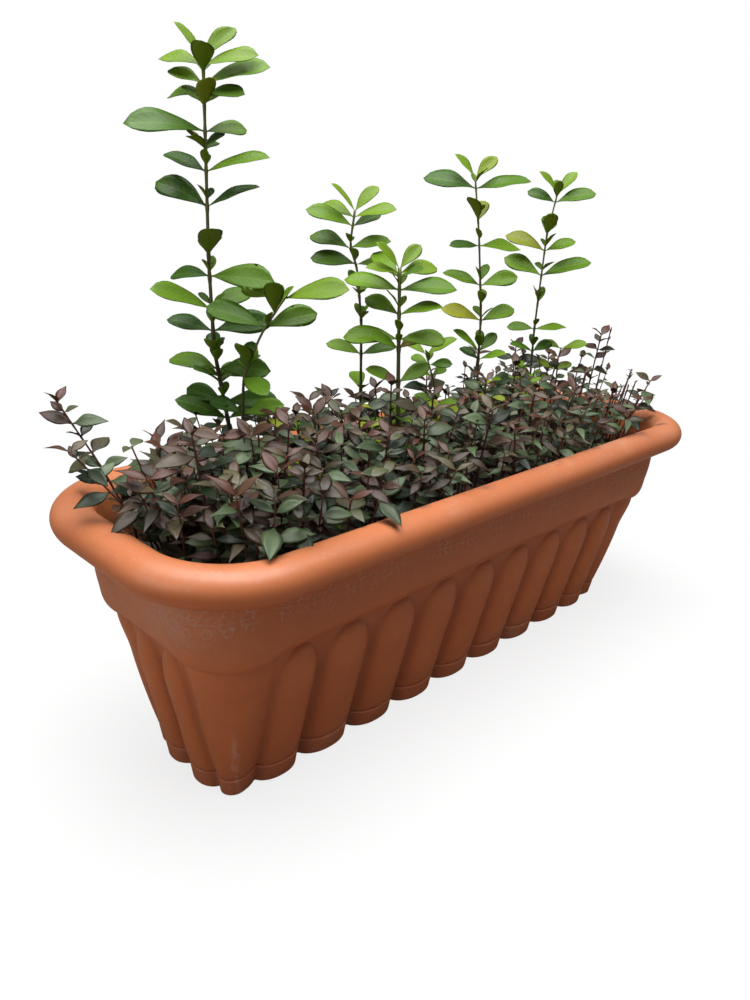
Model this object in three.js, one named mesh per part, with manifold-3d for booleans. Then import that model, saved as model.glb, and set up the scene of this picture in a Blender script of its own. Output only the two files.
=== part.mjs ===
// Planted window box, in millimetres, +Z up. X runs along the box, and the photographed long side
// faces -Y. The origin is the middle of the tray's underside. A fluted trough with a rolled rim
// nests its foot in a scalloped drip tray and holds potting soil. Green leafy shoots and low dark
// sprigs stand in plain holes in the soil.
import * as THREE from 'three';
import Module from 'manifold-3d';

const wasm = await Module();
wasm.setup();

// ---- Driving dimensions --------------------------------------------------------------------
// The plan of the rim's lip. Every other outline of the box is an inset of it.
const RIM_HALF_LENGTH = 400;
const RIM_HALF_WIDTH = 138;
const RIM_CORNER = 92;
const STRAIGHT_X = RIM_HALF_LENGTH - RIM_CORNER;
const STRAIGHT_Y = RIM_HALF_WIDTH - RIM_CORNER;

// The flutes: rounded lobes between narrow grooves. A lobe rounds each corner and reaches along
// both sides, with shallower grooves beside it. The long sides start and end with a narrower lobe.
const CORNER_RUN_LONG = 18;
const CORNER_RUN_END = 4;
const EDGE_LOBE = 54.6;
const FRONT_LOBES = 7;
const END_LOBES = 2;
const GROOVE = 8;
const CORNER_GROOVE_SHARE = 0.55;
const LOBE_SAMPLES = 4;
const CORNER_SAMPLES = 6;

// Heights up the wall, and the insets of the wall there.
const TRAY_TOP = 20;
const TRAY_FLOOR = 3;
const TRAY_WALL = 2.6;
const TRAY_FOOT_INSET = 76;
const BODY_FOOT_INSET = 73;
const ARCH_Z = 124;
const SHOULDER_Z = 159;
const SHOULDER_INSET = 45;
const LEDGE = 1.5;
const BAND_FOOT_Z = 218;
const BAND_INSET = 24.5;
const BAND_TOP_Z = 233;
const BEAD = { inset: 11.8, z: 251.7, halfDepth: 19.5, halfHeight: 16.7 };
const SEAM = 0.3;
const FLOOR_TOP = 10;
const DRAIN_RADIUS = 6;
const DRAIN_SPACING = 170;

// The soil, and how deep a stem stands in it.
const SOIL_EDGE_Z = 203;
const SOIL_CROWN = 7;
const SOIL_LUMP = 2.2;
const SOIL_LEVEL = 210;
const STEM_FOOT_Z = 186;
const STEM_COLLAR_Z = 224;
const HOLE_GAP = 0.35;

// ---- Colours ---------------------------------------------------------------------------------
const FINISH = {
  terracotta: { color: 0xa85a34, roughness: 0.45, metalness: 0 },
  trayTerracotta: { color: 0x8f4a2b, roughness: 0.5, metalness: 0 },
  soil: { color: 0x2f2119, roughness: 1, metalness: 0 },
  green: { color: 0x5f8a1e, roughness: 0.45, metalness: 0 },
  dark: { color: 0x49503f, roughness: 0.5, metalness: 0 },
};

// ---- Helpers ---------------------------------------------------------------------------------
const radians = THREE.MathUtils.degToRad;
const lerp = THREE.MathUtils.lerp;

function seededRandom(seed) {
  let state = seed >>> 0;
  return () => {
    state = (state + 0x6d2b79f5) >>> 0;
    let t = state;
    t = Math.imul(t ^ (t >>> 15), t | 1);
    t ^= t + Math.imul(t ^ (t >>> 7), t | 61);
    return ((t ^ (t >>> 14)) >>> 0) / 4294967296;
  };
}

const random = seededRandom(41);

// A number within plus or minus spread of middle.
function around(middle, spread) {
  return middle + (random() * 2 - 1) * spread;
}

function level(ring, z) {
  return ring.map(([x, y]) => new THREE.Vector3(x, y, z));
}

// Each ring point's share of the way round its ring, and 1 for the return to the first.
function shares(points, { first, count }) {
  const run = [0];
  for (let i = 0; i < count; i += 1) {
    const here = points[first + i];
    run.push(run[i] + here.distanceTo(points[first + ((i + 1) % count)]));
  }
  return run.map((length) => length / run[count]);
}

// Triangles between two closed rings. Rings with unlike numbers of points are matched by length.
function stitch(triangles, points, lower, upper) {
  const n = lower.count === 1 ? 0 : lower.count;
  const m = upper.count === 1 ? 0 : upper.count;
  const alike = n === m;
  const lowerShare = shares(points, lower);
  const upperShare = shares(points, upper);
  let i = 0;
  let j = 0;
  while (i < n || j < m) {
    const a = lower.first + (i % lower.count);
    const b = upper.first + (j % upper.count);
    const lowerFirst = alike ? i <= j : lowerShare[i + 1] <= upperShare[j + 1];
    if (j >= m || (i < n && lowerFirst)) {
      i += 1;
      triangles.push(a, lower.first + (i % lower.count), b);
    } else {
      j += 1;
      triangles.push(a, upper.first + (j % upper.count), b);
    }
  }
}

// A flat end over a ring. A ring of one point needs none.
function cap(triangles, points, ring, faceUp) {
  if (ring.count === 1) return;
  const contour = points.slice(ring.first, ring.first + ring.count);
  const flat = contour.map((p) => new THREE.Vector2(p.x, p.y));
  for (const [a, b, c] of THREE.ShapeUtils.triangulateShape(flat, [])) {
    const face = [ring.first + a, ring.first + b, ring.first + c];
    if (!faceUp) face.reverse();
    triangles.push(...face);
  }
}

// A closed solid through rings of points that run anticlockwise, seen from the last ring.
function loft(rings) {
  const points = rings.flat();
  const triangles = [];
  let first = 0;
  const spans = rings.map((ring) => {
    const span = { first, count: ring.length };
    first += ring.length;
    return span;
  });
  spans.slice(1).forEach((span, k) => stitch(triangles, points, spans[k], span));
  cap(triangles, points, spans[0], false);
  cap(triangles, points, spans[spans.length - 1], true);
  return new wasm.Manifold(new wasm.Mesh({
    numProp: 3,
    vertProperties: new Float32Array(points.flatMap((p) => [p.x, p.y, p.z])),
    triVerts: new Uint32Array(triangles),
  }));
}

function union(solids) {
  return solids.reduce((whole, solid) => whole.add(solid));
}

// ---- Outlines of the box ---------------------------------------------------------------------
// A place on the plan, met going anticlockwise: the arc of corner k, with the straight runs beside it.
const CORNERS = [[1, 1], [-1, 1], [-1, -1], [1, -1]];

function cornerFrame(k) {
  const [sx, sy] = CORNERS[k];
  return { x: sx * STRAIGHT_X, y: sy * STRAIGHT_Y, turn: 90 * k };
}

function alongSide(k, distance, inset) {
  const { x, y, turn } = cornerFrame(k);
  const out = radians(turn + 90);
  const radius = RIM_CORNER - inset;
  const ahead = radians(turn + 180);
  return {
    x: x + radius * Math.cos(out) + distance * Math.cos(ahead),
    y: y + radius * Math.sin(out) + distance * Math.sin(ahead),
    normal: out,
  };
}

function alongCorner(k, distance, inset, runBefore) {
  const { x, y, turn } = cornerFrame(k);
  const radius = RIM_CORNER - inset;
  const arc = radius * Math.PI / 2;
  const onArc = THREE.MathUtils.clamp(distance - runBefore, 0, arc);
  const normal = radians(turn) + onArc / radius;
  const before = Math.max(runBefore - distance, 0);
  const after = Math.max(distance - runBefore - arc, 0);
  return {
    x: x + radius * Math.cos(normal) + before * Math.sin(normal) - after * Math.sin(normal),
    y: y + radius * Math.sin(normal) - before * Math.cos(normal) + after * Math.cos(normal),
    normal,
  };
}

function sunk({ x, y, normal }, depth) {
  return [x - depth * Math.cos(normal), y - depth * Math.sin(normal)];
}

// The corner lobe's reach along side k. Sides 1 and 3 are the ends.
function cornerRun(k) {
  return k % 2 ? CORNER_RUN_END : CORNER_RUN_LONG;
}

// The widths of the lobes along side k, between the corner lobes.
function lobeWidths(k) {
  const side = 2 * (k % 2 ? STRAIGHT_Y : STRAIGHT_X) - 2 * cornerRun(k);
  if (k % 2) return new Array(END_LOBES).fill(side / END_LOBES);
  const full = (side - 2 * EDGE_LOBE) / FRONT_LOBES;
  return [EDGE_LOBE, ...new Array(FRONT_LOBES).fill(full), EDGE_LOBE];
}

// How far the wall is sunk at share u of a lobe: a round crown between concave grooves, which
// are shallower where they lie beside a corner lobe.
function grooveDepth(u, groove, besideBefore, besideAfter) {
  const valley = (0.5 + 0.5 * Math.cos(2 * Math.PI * u)) ** 1.6;
  const shallow = (u < 0.5 ? besideBefore : besideAfter) ? CORNER_GROOVE_SHARE : 1;
  return groove * shallow * (0.8 * valley + 0.2 * (1 - Math.sin(Math.PI * u)));
}

// The fluted outline: one lobe round each corner and a row of lobes along each side.
function fluted(inset, groove) {
  const ring = [];
  for (let k = 0; k < 4; k += 1) {
    const before = cornerRun(k + 1);
    const cornerLength = before + (RIM_CORNER - inset) * Math.PI / 2 + cornerRun(k);
    for (let i = 0; i < CORNER_SAMPLES; i += 1) {
      const u = i / CORNER_SAMPLES;
      const place = alongCorner(k, u * cornerLength, inset, before);
      ring.push(sunk(place, grooveDepth(u, groove, true, true)));
    }
    const widths = lobeWidths(k);
    let start = cornerRun(k);
    widths.forEach((width, lobe) => {
      for (let i = 0; i < LOBE_SAMPLES; i += 1) {
        const u = i / LOBE_SAMPLES;
        const depth = grooveDepth(u, groove, lobe === 0, lobe === widths.length - 1);
        ring.push(sunk(alongSide(k, start + u * width, inset), depth));
      }
      start += width;
    });
  }
  return ring;
}

// The smooth outline, with its long sides cut into the given number of runs.
function smooth(inset, runs = 1) {
  const ring = [];
  for (let k = 0; k < 4; k += 1) {
    const arc = (RIM_CORNER - inset) * Math.PI / 2;
    for (let i = 0; i <= CORNER_SAMPLES; i += 1) {
      ring.push(sunk(alongCorner(k, (i / CORNER_SAMPLES) * arc, inset, 0), 0));
    }
    const cuts = k % 2 ? 1 : runs;
    for (let i = 1; i < cuts; i += 1) {
      ring.push(sunk(alongSide(k, (i / cuts) * 2 * STRAIGHT_X, inset), 0));
    }
  }
  return ring;
}

// ---- Planter box -----------------------------------------------------------------------------
// The fluted wall bows outwards from its foot to the shoulder.
function fluteInset(z) {
  const top = SHOULDER_INSET + LEDGE;
  const down = (SHOULDER_Z - z) / (SHOULDER_Z - TRAY_TOP);
  return top + (BODY_FOOT_INSET - top) * Math.max(down, 0) ** 1.45;
}

// The grooves run out in soft arches under the shoulder.
function grooveAt(z) {
  return GROOVE * (1 - THREE.MathUtils.smoothstep(z, ARCH_Z, SHOULDER_Z));
}

// The shoulder is a quarter ellipse from the flutes' heads out to the band.
function shoulder(degrees) {
  const angle = radians(degrees);
  return {
    inset: SHOULDER_INSET - (SHOULDER_INSET - BAND_INSET) * Math.cos(angle),
    z: BAND_FOOT_Z - (BAND_FOOT_Z - SHOULDER_Z) * Math.sin(angle),
  };
}

function bead(degrees) {
  const angle = radians(degrees);
  return {
    inset: BEAD.inset - BEAD.halfDepth * Math.cos(angle),
    z: BEAD.z + BEAD.halfHeight * Math.sin(angle),
  };
}

// The inner wall, from the rim's inner edge down to the floor.
const INNER_WALL = [
  { inset: 30.7, z: 257 },
  { inset: 34, z: 236 },
  { inset: 35, z: 190 },
  { inset: 60, z: 140 },
  { inset: 90, z: FLOOR_TOP },
];

function planterBox() {
  const seamZ = TRAY_TOP + SEAM;
  const rings = [
    level(fluted(TRAY_FOOT_INSET + TRAY_WALL + 0.4, GROOVE), TRAY_FLOOR + SEAM),
    level(fluted(BODY_FOOT_INSET + TRAY_WALL + 0.6, GROOVE), seamZ),
  ];
  for (const z of [seamZ, 48, 80, 110, 130, 143, 153]) {
    rings.push(level(fluted(fluteInset(z), grooveAt(z)), z));
  }
  for (const degrees of [90, 60]) {
    const { inset, z } = shoulder(degrees);
    rings.push(level(fluted(inset, 0), z));
  }
  const plain = [
    ...[35, 10].map(shoulder),
    { inset: BAND_INSET - 0.8, z: BAND_TOP_Z },
    { inset: BEAD.inset + 7, z: BEAD.z - BEAD.halfHeight },
    ...[-90, -50, -15, 15, 50, 90, 125].map(bead),
    ...INNER_WALL,
  ];
  for (const { inset, z } of plain) rings.push(level(smooth(inset), z));
  const drains = [-1.5, -0.5, 0.5, 1.5].map((step) => drainHole(step * DRAIN_SPACING));
  return drains.reduce((box, hole) => box.subtract(hole), loft(rings));
}

function drainHole(x) {
  const circle = [];
  for (let i = 0; i < 10; i += 1) {
    const angle = (i / 10) * 2 * Math.PI;
    circle.push([x + DRAIN_RADIUS * Math.cos(angle), DRAIN_RADIUS * Math.sin(angle)]);
  }
  return loft([level(circle, 0), level(circle, FLOOR_TOP + 5)]);
}

// ---- Drip tray -------------------------------------------------------------------------------
function dripTray() {
  return loft([
    level(fluted(TRAY_FOOT_INSET, GROOVE), 0),
    level(fluted(BODY_FOOT_INSET, GROOVE), TRAY_TOP),
    level(fluted(BODY_FOOT_INSET + TRAY_WALL, GROOVE), TRAY_TOP),
    level(fluted(TRAY_FOOT_INSET + TRAY_WALL, GROOVE), TRAY_FLOOR),
  ]);
}

// ---- Soil ------------------------------------------------------------------------------------
function soilLump(x, y) {
  return Math.sin(x / 17 + 1.3 * Math.sin(y / 23)) * Math.cos(y / 19 + x / 61);
}

// The soil's top as rings that close in on the box's middle line.
function soilRing(share) {
  const halfWidth = RIM_HALF_WIDTH - INNER_WALL[2].inset - 0.5;
  return smooth(INNER_WALL[2].inset + 0.5, 8).map(([x, y]) => {
    const px = x - Math.sign(x) * share * halfWidth;
    const py = y * (1 - share);
    const rise = SOIL_CROWN * Math.sin(share * Math.PI / 2);
    return new THREE.Vector3(px, py, SOIL_EDGE_Z + rise + SOIL_LUMP * soilLump(px, py));
  });
}

function soilBody() {
  const [foot, waist, head] = [4, 3, 2].map((k) => INNER_WALL[k]);
  return loft([
    level(smooth(foot.inset + 0.6, 8), foot.z + SEAM),
    level(smooth(waist.inset + 0.6, 8), waist.z),
    level(smooth(head.inset + 0.6, 8), head.z),
    ...[0, 0.22, 0.5, 0.8].map(soilRing),
  ]);
}

// ---- Stems and leaves ------------------------------------------------------------------------
function stemRing(centre, radius, sides) {
  const ring = [];
  for (let i = 0; i < sides; i += 1) {
    const angle = (i / sides) * 2 * Math.PI;
    ring.push(new THREE.Vector3(
      centre.x + radius * Math.cos(angle),
      centre.y + radius * Math.sin(angle),
      centre.z,
    ));
  }
  return ring;
}

// A stem's centre at a height above the soil, from its foot and its bends [height, dx, dy].
function stemPoint({ foot, bends }, height) {
  let [h0, x0, y0] = [0, 0, 0];
  for (const [h1, x1, y1] of bends) {
    if (height <= h1) {
      const t = (height - h0) / (h1 - h0);
      return new THREE.Vector3(
        foot[0] + lerp(x0, x1, t), foot[1] + lerp(y0, y1, t), SOIL_LEVEL + height,
      );
    }
    [h0, x0, y0] = [h1, x1, y1];
  }
  return new THREE.Vector3(foot[0] + x0, foot[1] + y0, SOIL_LEVEL + height);
}

function stem(plant) {
  const { foot, bends, radius, sides } = plant;
  const top = bends[bends.length - 1][0];
  const rings = [STEM_FOOT_Z, STEM_COLLAR_Z].map(
    (z) => stemRing(new THREE.Vector3(...foot, z), radius, sides),
  );
  for (const [height] of bends) {
    const slim = lerp(1, 0.55, height / top);
    rings.push(stemRing(stemPoint(plant, height), radius * slim, sides));
  }
  return loft(rings);
}

// The hole that a stem stands in.
function stemHole({ foot, radius, sides }) {
  const wide = radius + HOLE_GAP / Math.cos(Math.PI / sides);
  return loft([STEM_FOOT_Z - SEAM, STEM_COLLAR_Z + 10].map(
    (z) => stemRing(new THREE.Vector3(...foot, z), wide, sides),
  ));
}

// The light comes from the photographed side, and each blade rolls its face towards it.
const LIGHT = new THREE.Vector3(Math.cos(radians(228)), Math.sin(radians(228)), 0);
const LIGHT_ROLL = 40;

// A leaf blade: folded along its midrib, arched, widest past its middle, pointed at both ends.
function blade(root, azimuth, rise, length, shape) {
  const turn = radians(azimuth);
  const lift = radians(rise);
  const along = new THREE.Vector3(
    Math.cos(turn) * Math.cos(lift), Math.sin(turn) * Math.cos(lift), Math.sin(lift),
  );
  const side = new THREE.Vector3(-Math.sin(turn), Math.cos(turn), 0);
  side.applyAxisAngle(along, -radians(LIGHT_ROLL * side.dot(LIGHT)));
  const up = along.clone().cross(side);
  const at = (t) => root.clone()
    .addScaledVector(along, length * t)
    .addScaledVector(up, -shape.arch * length * t * t);
  const rings = [[at(0)]];
  for (const [t, share] of shape.stations) {
    const half = 0.5 * shape.width * length * share;
    const fold = shape.fold * half;
    const middle = at(t);
    const corner = (across, high) => middle.clone()
      .addScaledVector(side, across)
      .addScaledVector(up, high);
    rings.push([
      corner(half, fold), corner(0, shape.thick / 2), corner(-half, fold), corner(0, -shape.thick / 2),
    ]);
  }
  rings.push([at(1)]);
  return loft(rings);
}

const GREEN_LEAF = {
  width: 0.46, arch: 0.16, fold: 0.22, thick: 1.2,
  stations: [[0.3, 0.62], [0.6, 1], [0.84, 0.66]],
};
const SMALL_GREEN_LEAF = {
  width: 0.46, arch: 0.12, fold: 0.25, thick: 1.1,
  stations: [[0.38, 0.85], [0.7, 0.95]],
};
const DARK_LEAF = {
  width: 0.42, arch: 0.14, fold: 0.22, thick: 0.9,
  stations: [[0.36, 0.9], [0.7, 0.85]],
};

// Leaves stand in opposite pairs: [height, azimuth, rise, length, length of the leaf opposite].
function leaves(plant, shapeOf) {
  return plant.pairs.flatMap(([height, azimuth, rise, length, opposite]) => {
    const root = stemPoint(plant, height);
    return [
      blade(root, azimuth, rise, length, shapeOf(length)),
      blade(root, azimuth + 180, rise, opposite, shapeOf(opposite)),
    ];
  });
}

function plantSolid(plant, shapeOf) {
  return union([stem(plant), ...leaves(plant, shapeOf)]);
}

// ---- Green shoots ----------------------------------------------------------------------------
// Foot in the soil's plan, bends [height, dx, dy], and the leaf pairs up the stem.
const GREEN_SHOOTS = {
  tall_left: {
    foot: [-208, 73], radius: 2.2,
    bends: [[30, 0, 0], [100, -8, 9], [170, -17, 17], [250, -19, 20], [415, -20, 20]],
    pairs: [
      [60, 40, 30, 42, 40], [103, 150, 30, 52, 50], [120, 300, 16, 54, 44],
      [138, 205, 38, 46, 34], [152, 120, 14, 54, 52], [167, 235, 40, 40, 32],
      [188, 320, 20, 56, 44], [208, 175, 28, 60, 46], [238, 295, 8, 62, 44],
      [256, 240, 42, 48, 30], [298, 120, 30, 55, 50], [327, 118, 22, 48, 58],
      [345, 210, 25, 30, 26], [359, 165, 12, 66, 40], [378, 240, 40, 36, 30],
      [388, 104, 8, 45, 40], [396, 300, 22, 58, 36], [404, 235, 35, 42, 34],
      [410, 118, 16, 46, 48], [414, 160, 54, 34, 38],
    ],
  },
  leaning_left: {
    foot: [-219, 57], radius: 1.9,
    bends: [[30, 0, 0], [150, 2, -2], [192, 14, -14], [228, 30, -31]],
    pairs: [
      [70, 100, 25, 36, 34], [114, 300, 25, 42, 36], [150, 260, 0, 45, 30],
      [160, 220, 50, 40, 30], [197, 145, 25, 55, 50], [210, 228, 58, 40, 32],
      [224, 292, 20, 62, 46],
    ],
  },
  centre_left: {
    foot: [-36, 76], radius: 1.9,
    bends: [[30, 0, 0], [186, -4, 4], [246, -9, 10], [262, -15, 16], [300, -12, 13]],
    pairs: [
      [110, 60, 30, 40, 38], [150, 130, 25, 40, 40], [188, 230, 40, 25, 24],
      [214, 40, 28, 38, 34], [246, 135, 12, 50, 30], [262, 115, 22, 48, 44],
      [284, 150, 28, 50, 34], [293, 108, 22, 45, 46], [299, 155, 52, 36, 36],
    ],
  },
  centre: {
    foot: [-33, 13], radius: 2.8,
    bends: [[30, 0, 0], [108, -6, 6], [192, -9, 9], [248, -11, 11]],
    pairs: [
      [90, 50, 25, 40, 38], [130, 150, 30, 38, 40], [166, 165, 32, 38, 30],
      [176, 135, 8, 58, 50], [201, 115, 28, 42, 46], [226, 130, 15, 58, 58],
      [238, 95, 33, 48, 30], [243, 340, 16, 45, 36], [247, 160, 50, 36, 34],
    ],
  },
  right_of_centre: {
    foot: [152, 44], radius: 1.8,
    bends: [[30, 0, 0], [112, -8, 9], [185, -10, 11], [278, -19, 19], [340, -26, 27]],
    pairs: [
      [80, 60, 28, 38, 36], [130, 275, 28, 38, 32], [140, 155, 45, 42, 34],
      [178, 148, 25, 52, 48], [198, 210, 52, 26, 24], [220, 130, 24, 48, 46],
      [266, 155, 3, 38, 62], [294, 200, 48, 40, 34], [329, 130, 18, 62, 64],
      [339, 150, 54, 36, 36],
    ],
  },
  right: {
    foot: [262, 48], radius: 1.7,
    bends: [[30, 0, 0], [160, -3, 4], [281, -3, 3], [330, 2, -2]],
    pairs: [
      [90, 70, 28, 36, 34], [130, 160, 25, 36, 34], [160, 130, 8, 36, 44],
      [194, 185, 68, 26, 24], [229, 124, 28, 54, 64], [260, 122, 28, 54, 40],
      [279, 220, 58, 38, 32], [319, 122, 26, 38, 50], [329, 140, 55, 36, 36],
    ],
  },
  small_right: {
    foot: [292, 30], radius: 1.4,
    bends: [[30, 0, 0], [91, -3, 4], [136, 2, -2]],
    pairs: [[70, 40, 28, 28, 26], [105, 130, 30, 28, 26], [134, 115, 24, 28, 36]],
  },
  small_centre: {
    foot: [66, 46], radius: 1.6,
    bends: [[30, 0, 0], [109, -6, 6], [146, -15, 16]],
    pairs: [
      [84, 110, 25, 30, 28], [119, 180, 22, 36, 28], [132, 100, 18, 28, 30],
      [144, 130, 38, 32, 40],
    ],
  },
};

// ---- Low dark sprigs -------------------------------------------------------------------------
const SPRIG_COLUMNS = 7;
const SPRIG_ROWS = 3;
const SPRIG_PITCH_X = 80;
const SPRIG_PITCH_Y = 70;

// The sprigs that lean out over the two ends: [x, y, height, lean along x, lean along y].
const END_SPRIGS = [
  [-336, 54, 142, -44, 40], [-340, 6, 118, -60, 28], [-322, -46, 140, -16, 2],
  [337, 6, 154, 10, -6], [330, -58, 104, 26, -20], [324, 62, 116, 12, 10],
];

// A sprig of the bed, at a place of the jittered grid.
function bedSprig(column, row) {
  const x = (column - (SPRIG_COLUMNS - 1) / 2) * SPRIG_PITCH_X + around(0, 14);
  const y = (row - (SPRIG_ROWS - 1) / 2) * SPRIG_PITCH_Y + around(0, 12);
  const leanX = 0.05 * x + around(0, 9);
  const leanY = 0.15 * y + around(0, 9);
  return darkSprig(x, y, around(116, 20), leanX, leanY);
}

// A sprig carries three pairs, each turned by 90 degrees from the last, and two steep top leaves.
function darkSprig(x, y, height, leanX, leanY) {
  const pairs = [];
  const turn = random() * 360;
  const nodes = 3;
  for (let i = 0; i < nodes; i += 1) {
    const h = lerp(0.5, 0.86, i / (nodes - 1)) * height;
    pairs.push([h, turn + 90 * i + around(0, 18), around(4, 22), around(32, 5), around(31, 5)]);
  }
  pairs.push([height - 2, turn + 90 * nodes, around(42, 12), around(21, 4), around(20, 4)]);
  return {
    foot: [x, y], radius: 1.3, sides: 3,
    bends: [[26, 0, 0], [height * 0.6, leanX * 0.45, leanY * 0.45], [height, leanX, leanY]],
    pairs,
  };
}

// ---- Placing -----------------------------------------------------------------------------------
function boxesMeet(a, b) {
  return [0, 1, 2].every((k) => a.min[k] < b.max[k] && b.min[k] < a.max[k]);
}

function isClear(solid, taken) {
  const box = solid.boundingBox();
  return taken.every((other) => (
    !boxesMeet(box, other.boundingBox()) || solid.intersect(other).volume() === 0
  ));
}

// Leaves that would cross another plant are turned about their stem until they are clear.
function turned(plant, degrees, shrink) {
  const pairs = plant.pairs.map(([height, azimuth, rise, length, opposite], i) => [
    height, azimuth + degrees * (i % 2 ? -1 : 1), rise, length * shrink, opposite * shrink,
  ]);
  return { ...plant, pairs };
}

function placeClear(plant, shapeOf, step, tries, taken) {
  for (let attempt = 0; attempt < tries; attempt += 1) {
    const sign = attempt % 2 ? -1 : 1;
    const candidate = turned(plant, sign * Math.ceil(attempt / 2) * step, 1 - 0.008 * attempt);
    const solid = plantSolid(candidate, shapeOf);
    if (isClear(solid, taken)) return solid;
  }
  return null;
}

const greenShape = (length) => (length < 41 ? SMALL_GREEN_LEAF : GREEN_LEAF);
const darkShape = () => DARK_LEAF;

const part = new THREE.Group();

function addNode(name, solid, finish) {
  const mesh = solid.getMesh();
  const geometry = new THREE.BufferGeometry();
  geometry.setAttribute('position', new THREE.BufferAttribute(mesh.vertProperties, 3));
  geometry.setIndex(new THREE.BufferAttribute(mesh.triVerts, 1));
  geometry.computeVertexNormals();
  const node = new THREE.Mesh(geometry, new THREE.MeshStandardMaterial(finish));
  node.name = name;
  part.add(node);
}

const planter = planterBox();
addNode('planter_box', planter, FINISH.terracotta);
addNode('drip_tray', dripTray(), FINISH.trayTerracotta);

const taken = [planter];
let soil = soilBody();

function plantInSoil(name, plant, shapeOf, step, tries, finish) {
  const solid = placeClear(plant, shapeOf, step, tries, taken);
  if (!solid) return;
  taken.push(solid);
  soil = soil.subtract(stemHole(plant));
  addNode(name, solid, finish);
}

for (const [name, shoot] of Object.entries(GREEN_SHOOTS)) {
  plantInSoil(`green_shoot_${name}`, { ...shoot, sides: 4 }, greenShape, 3, 20, FINISH.green);
}
const sprigs = END_SPRIGS.map((place) => darkSprig(...place));
for (let column = 0; column < SPRIG_COLUMNS; column += 1) {
  for (let row = 0; row < SPRIG_ROWS; row += 1) sprigs.push(bedSprig(column, row));
}
sprigs.forEach((sprig, i) => {
  plantInSoil(`dark_sprig_${i + 1}`, sprig, darkShape, 11, 24, FINISH.dark);
});
addNode('potting_soil', soil, FINISH.soil);

export default part;
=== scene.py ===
"""Dresses the planted window box: fluted box, drip tray, soil, leafy shoots and low dark sprigs."""

import logging
import math
from collections.abc import Callable, Sequence
from dataclasses import dataclass, field, replace
from enum import Enum

import bpy
import numpy as np
from mathutils import Matrix, Vector


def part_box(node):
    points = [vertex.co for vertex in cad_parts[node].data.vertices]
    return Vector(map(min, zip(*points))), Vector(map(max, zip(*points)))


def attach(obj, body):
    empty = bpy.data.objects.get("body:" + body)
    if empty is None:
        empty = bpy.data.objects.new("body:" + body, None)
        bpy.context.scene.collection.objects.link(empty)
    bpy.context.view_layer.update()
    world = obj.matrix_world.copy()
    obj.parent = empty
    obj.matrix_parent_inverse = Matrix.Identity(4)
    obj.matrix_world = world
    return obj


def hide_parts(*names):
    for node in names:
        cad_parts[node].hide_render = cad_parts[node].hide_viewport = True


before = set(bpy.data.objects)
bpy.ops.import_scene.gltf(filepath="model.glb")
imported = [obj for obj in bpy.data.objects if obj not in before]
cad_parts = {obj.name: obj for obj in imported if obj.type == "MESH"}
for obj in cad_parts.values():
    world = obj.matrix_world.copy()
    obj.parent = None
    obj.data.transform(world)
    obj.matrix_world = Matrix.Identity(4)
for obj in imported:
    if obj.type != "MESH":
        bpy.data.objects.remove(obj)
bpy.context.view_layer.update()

MM = 0.001
# The height, in millimetres, from which the stems' heights count.
SOIL_LEVEL = 210.0
log = logging.getLogger("window_box")

Colour = tuple[float, float, float]
# Where something starts and where it ends.
Span = tuple[float, float]
Row = tuple[float, ...]
# A stem's bends: height above the soil's level, and how far it has leant along x and y.
Bends = tuple[tuple[float, float, float], ...]
Array = np.ndarray
Draw = np.random.Generator
Finishes = Sequence[bpy.types.Material]


class Slot(Enum):
    """The record's material slots."""

    PLANTER = "planter_plastic"
    TRAY = "tray_plastic"
    SOIL = "soil"
    GREEN = "green_foliage"
    DARK = "dark_foliage"


# ---- Drafting meshes
@dataclass
class MeshDraft:
    """Points in millimetres, faces and point marks, gathered before one mesh is made of them."""

    marks: Sequence[str] = ()
    points: list[Array] = field(default_factory=list)
    faces: list[list[int]] = field(default_factory=list)
    finishes: list[int] = field(default_factory=list)
    values: dict[str, list[Array]] = field(default_factory=dict)
    count: int = 0

    def add(
        self,
        points: Array,
        faces: Sequence[Array],
        finish: int = 0,
        **values: Array,
    ) -> None:
        """Adds points and their faces.

        Args:
            points: the points, as rows of x, y, z.
            faces: arrays of point numbers, one row a face.
            finish: the number of the material that the faces take.
            values: the points' marks. A mark that is left out is 0.
        """
        for block in faces:
            self.faces.extend((block + self.count).tolist())
            self.finishes.extend([finish] * len(block))
        self.points.append(points)
        for name in self.marks:
            given = values.get(name, np.zeros(len(points)))
            self.values.setdefault(name, []).append(np.asarray(given, float).ravel())
        self.count += len(points)

    def build(self, name: str, materials: Finishes) -> bpy.types.Object:
        """Makes the object.

        Args:
            name: the piece's name.
            materials: the materials, in the order of the finish numbers.

        Returns:
            The new smooth-shaded object, in metres.
        """
        mesh = bpy.data.meshes.new(name)
        mesh.from_pydata((np.concatenate(self.points) * MM).tolist(), [], self.faces)
        for mark, parts in self.values.items():
            layer = mesh.attributes.new(mark, "FLOAT", "POINT")
            layer.data.foreach_set("value", np.concatenate(parts).astype(np.float32))
        for material in materials:
            mesh.materials.append(material)
        mesh.polygons.foreach_set("material_index", self.finishes)
        mesh.shade_smooth()
        mesh.update()
        piece = bpy.data.objects.new(name, mesh)
        bpy.context.scene.collection.objects.link(piece)
        return piece


def ring_faces(rings: int, around: int, closed_ends: bool = False) -> list[Array]:
    """Faces between rings of points that were listed one ring after another.

    Args:
        rings: how many rings there are.
        around: how many points each ring has.
        closed_ends: whether the first and last ring get a flat face.

    Returns:
        Arrays of point numbers, one row a face.
    """
    i = np.arange(rings - 1)[:, None] * around
    j = np.arange(around)[None, :]
    k = (j + 1) % around
    quads = np.stack([i + j, i + k, i + around + k, i + around + j], axis=-1).reshape(-1, 4)
    if not closed_ends:
        return [quads]
    first = np.arange(around)[::-1][None, :]
    last = (np.arange(around) + (rings - 1) * around)[None, :]
    return [quads, first, last]


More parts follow.
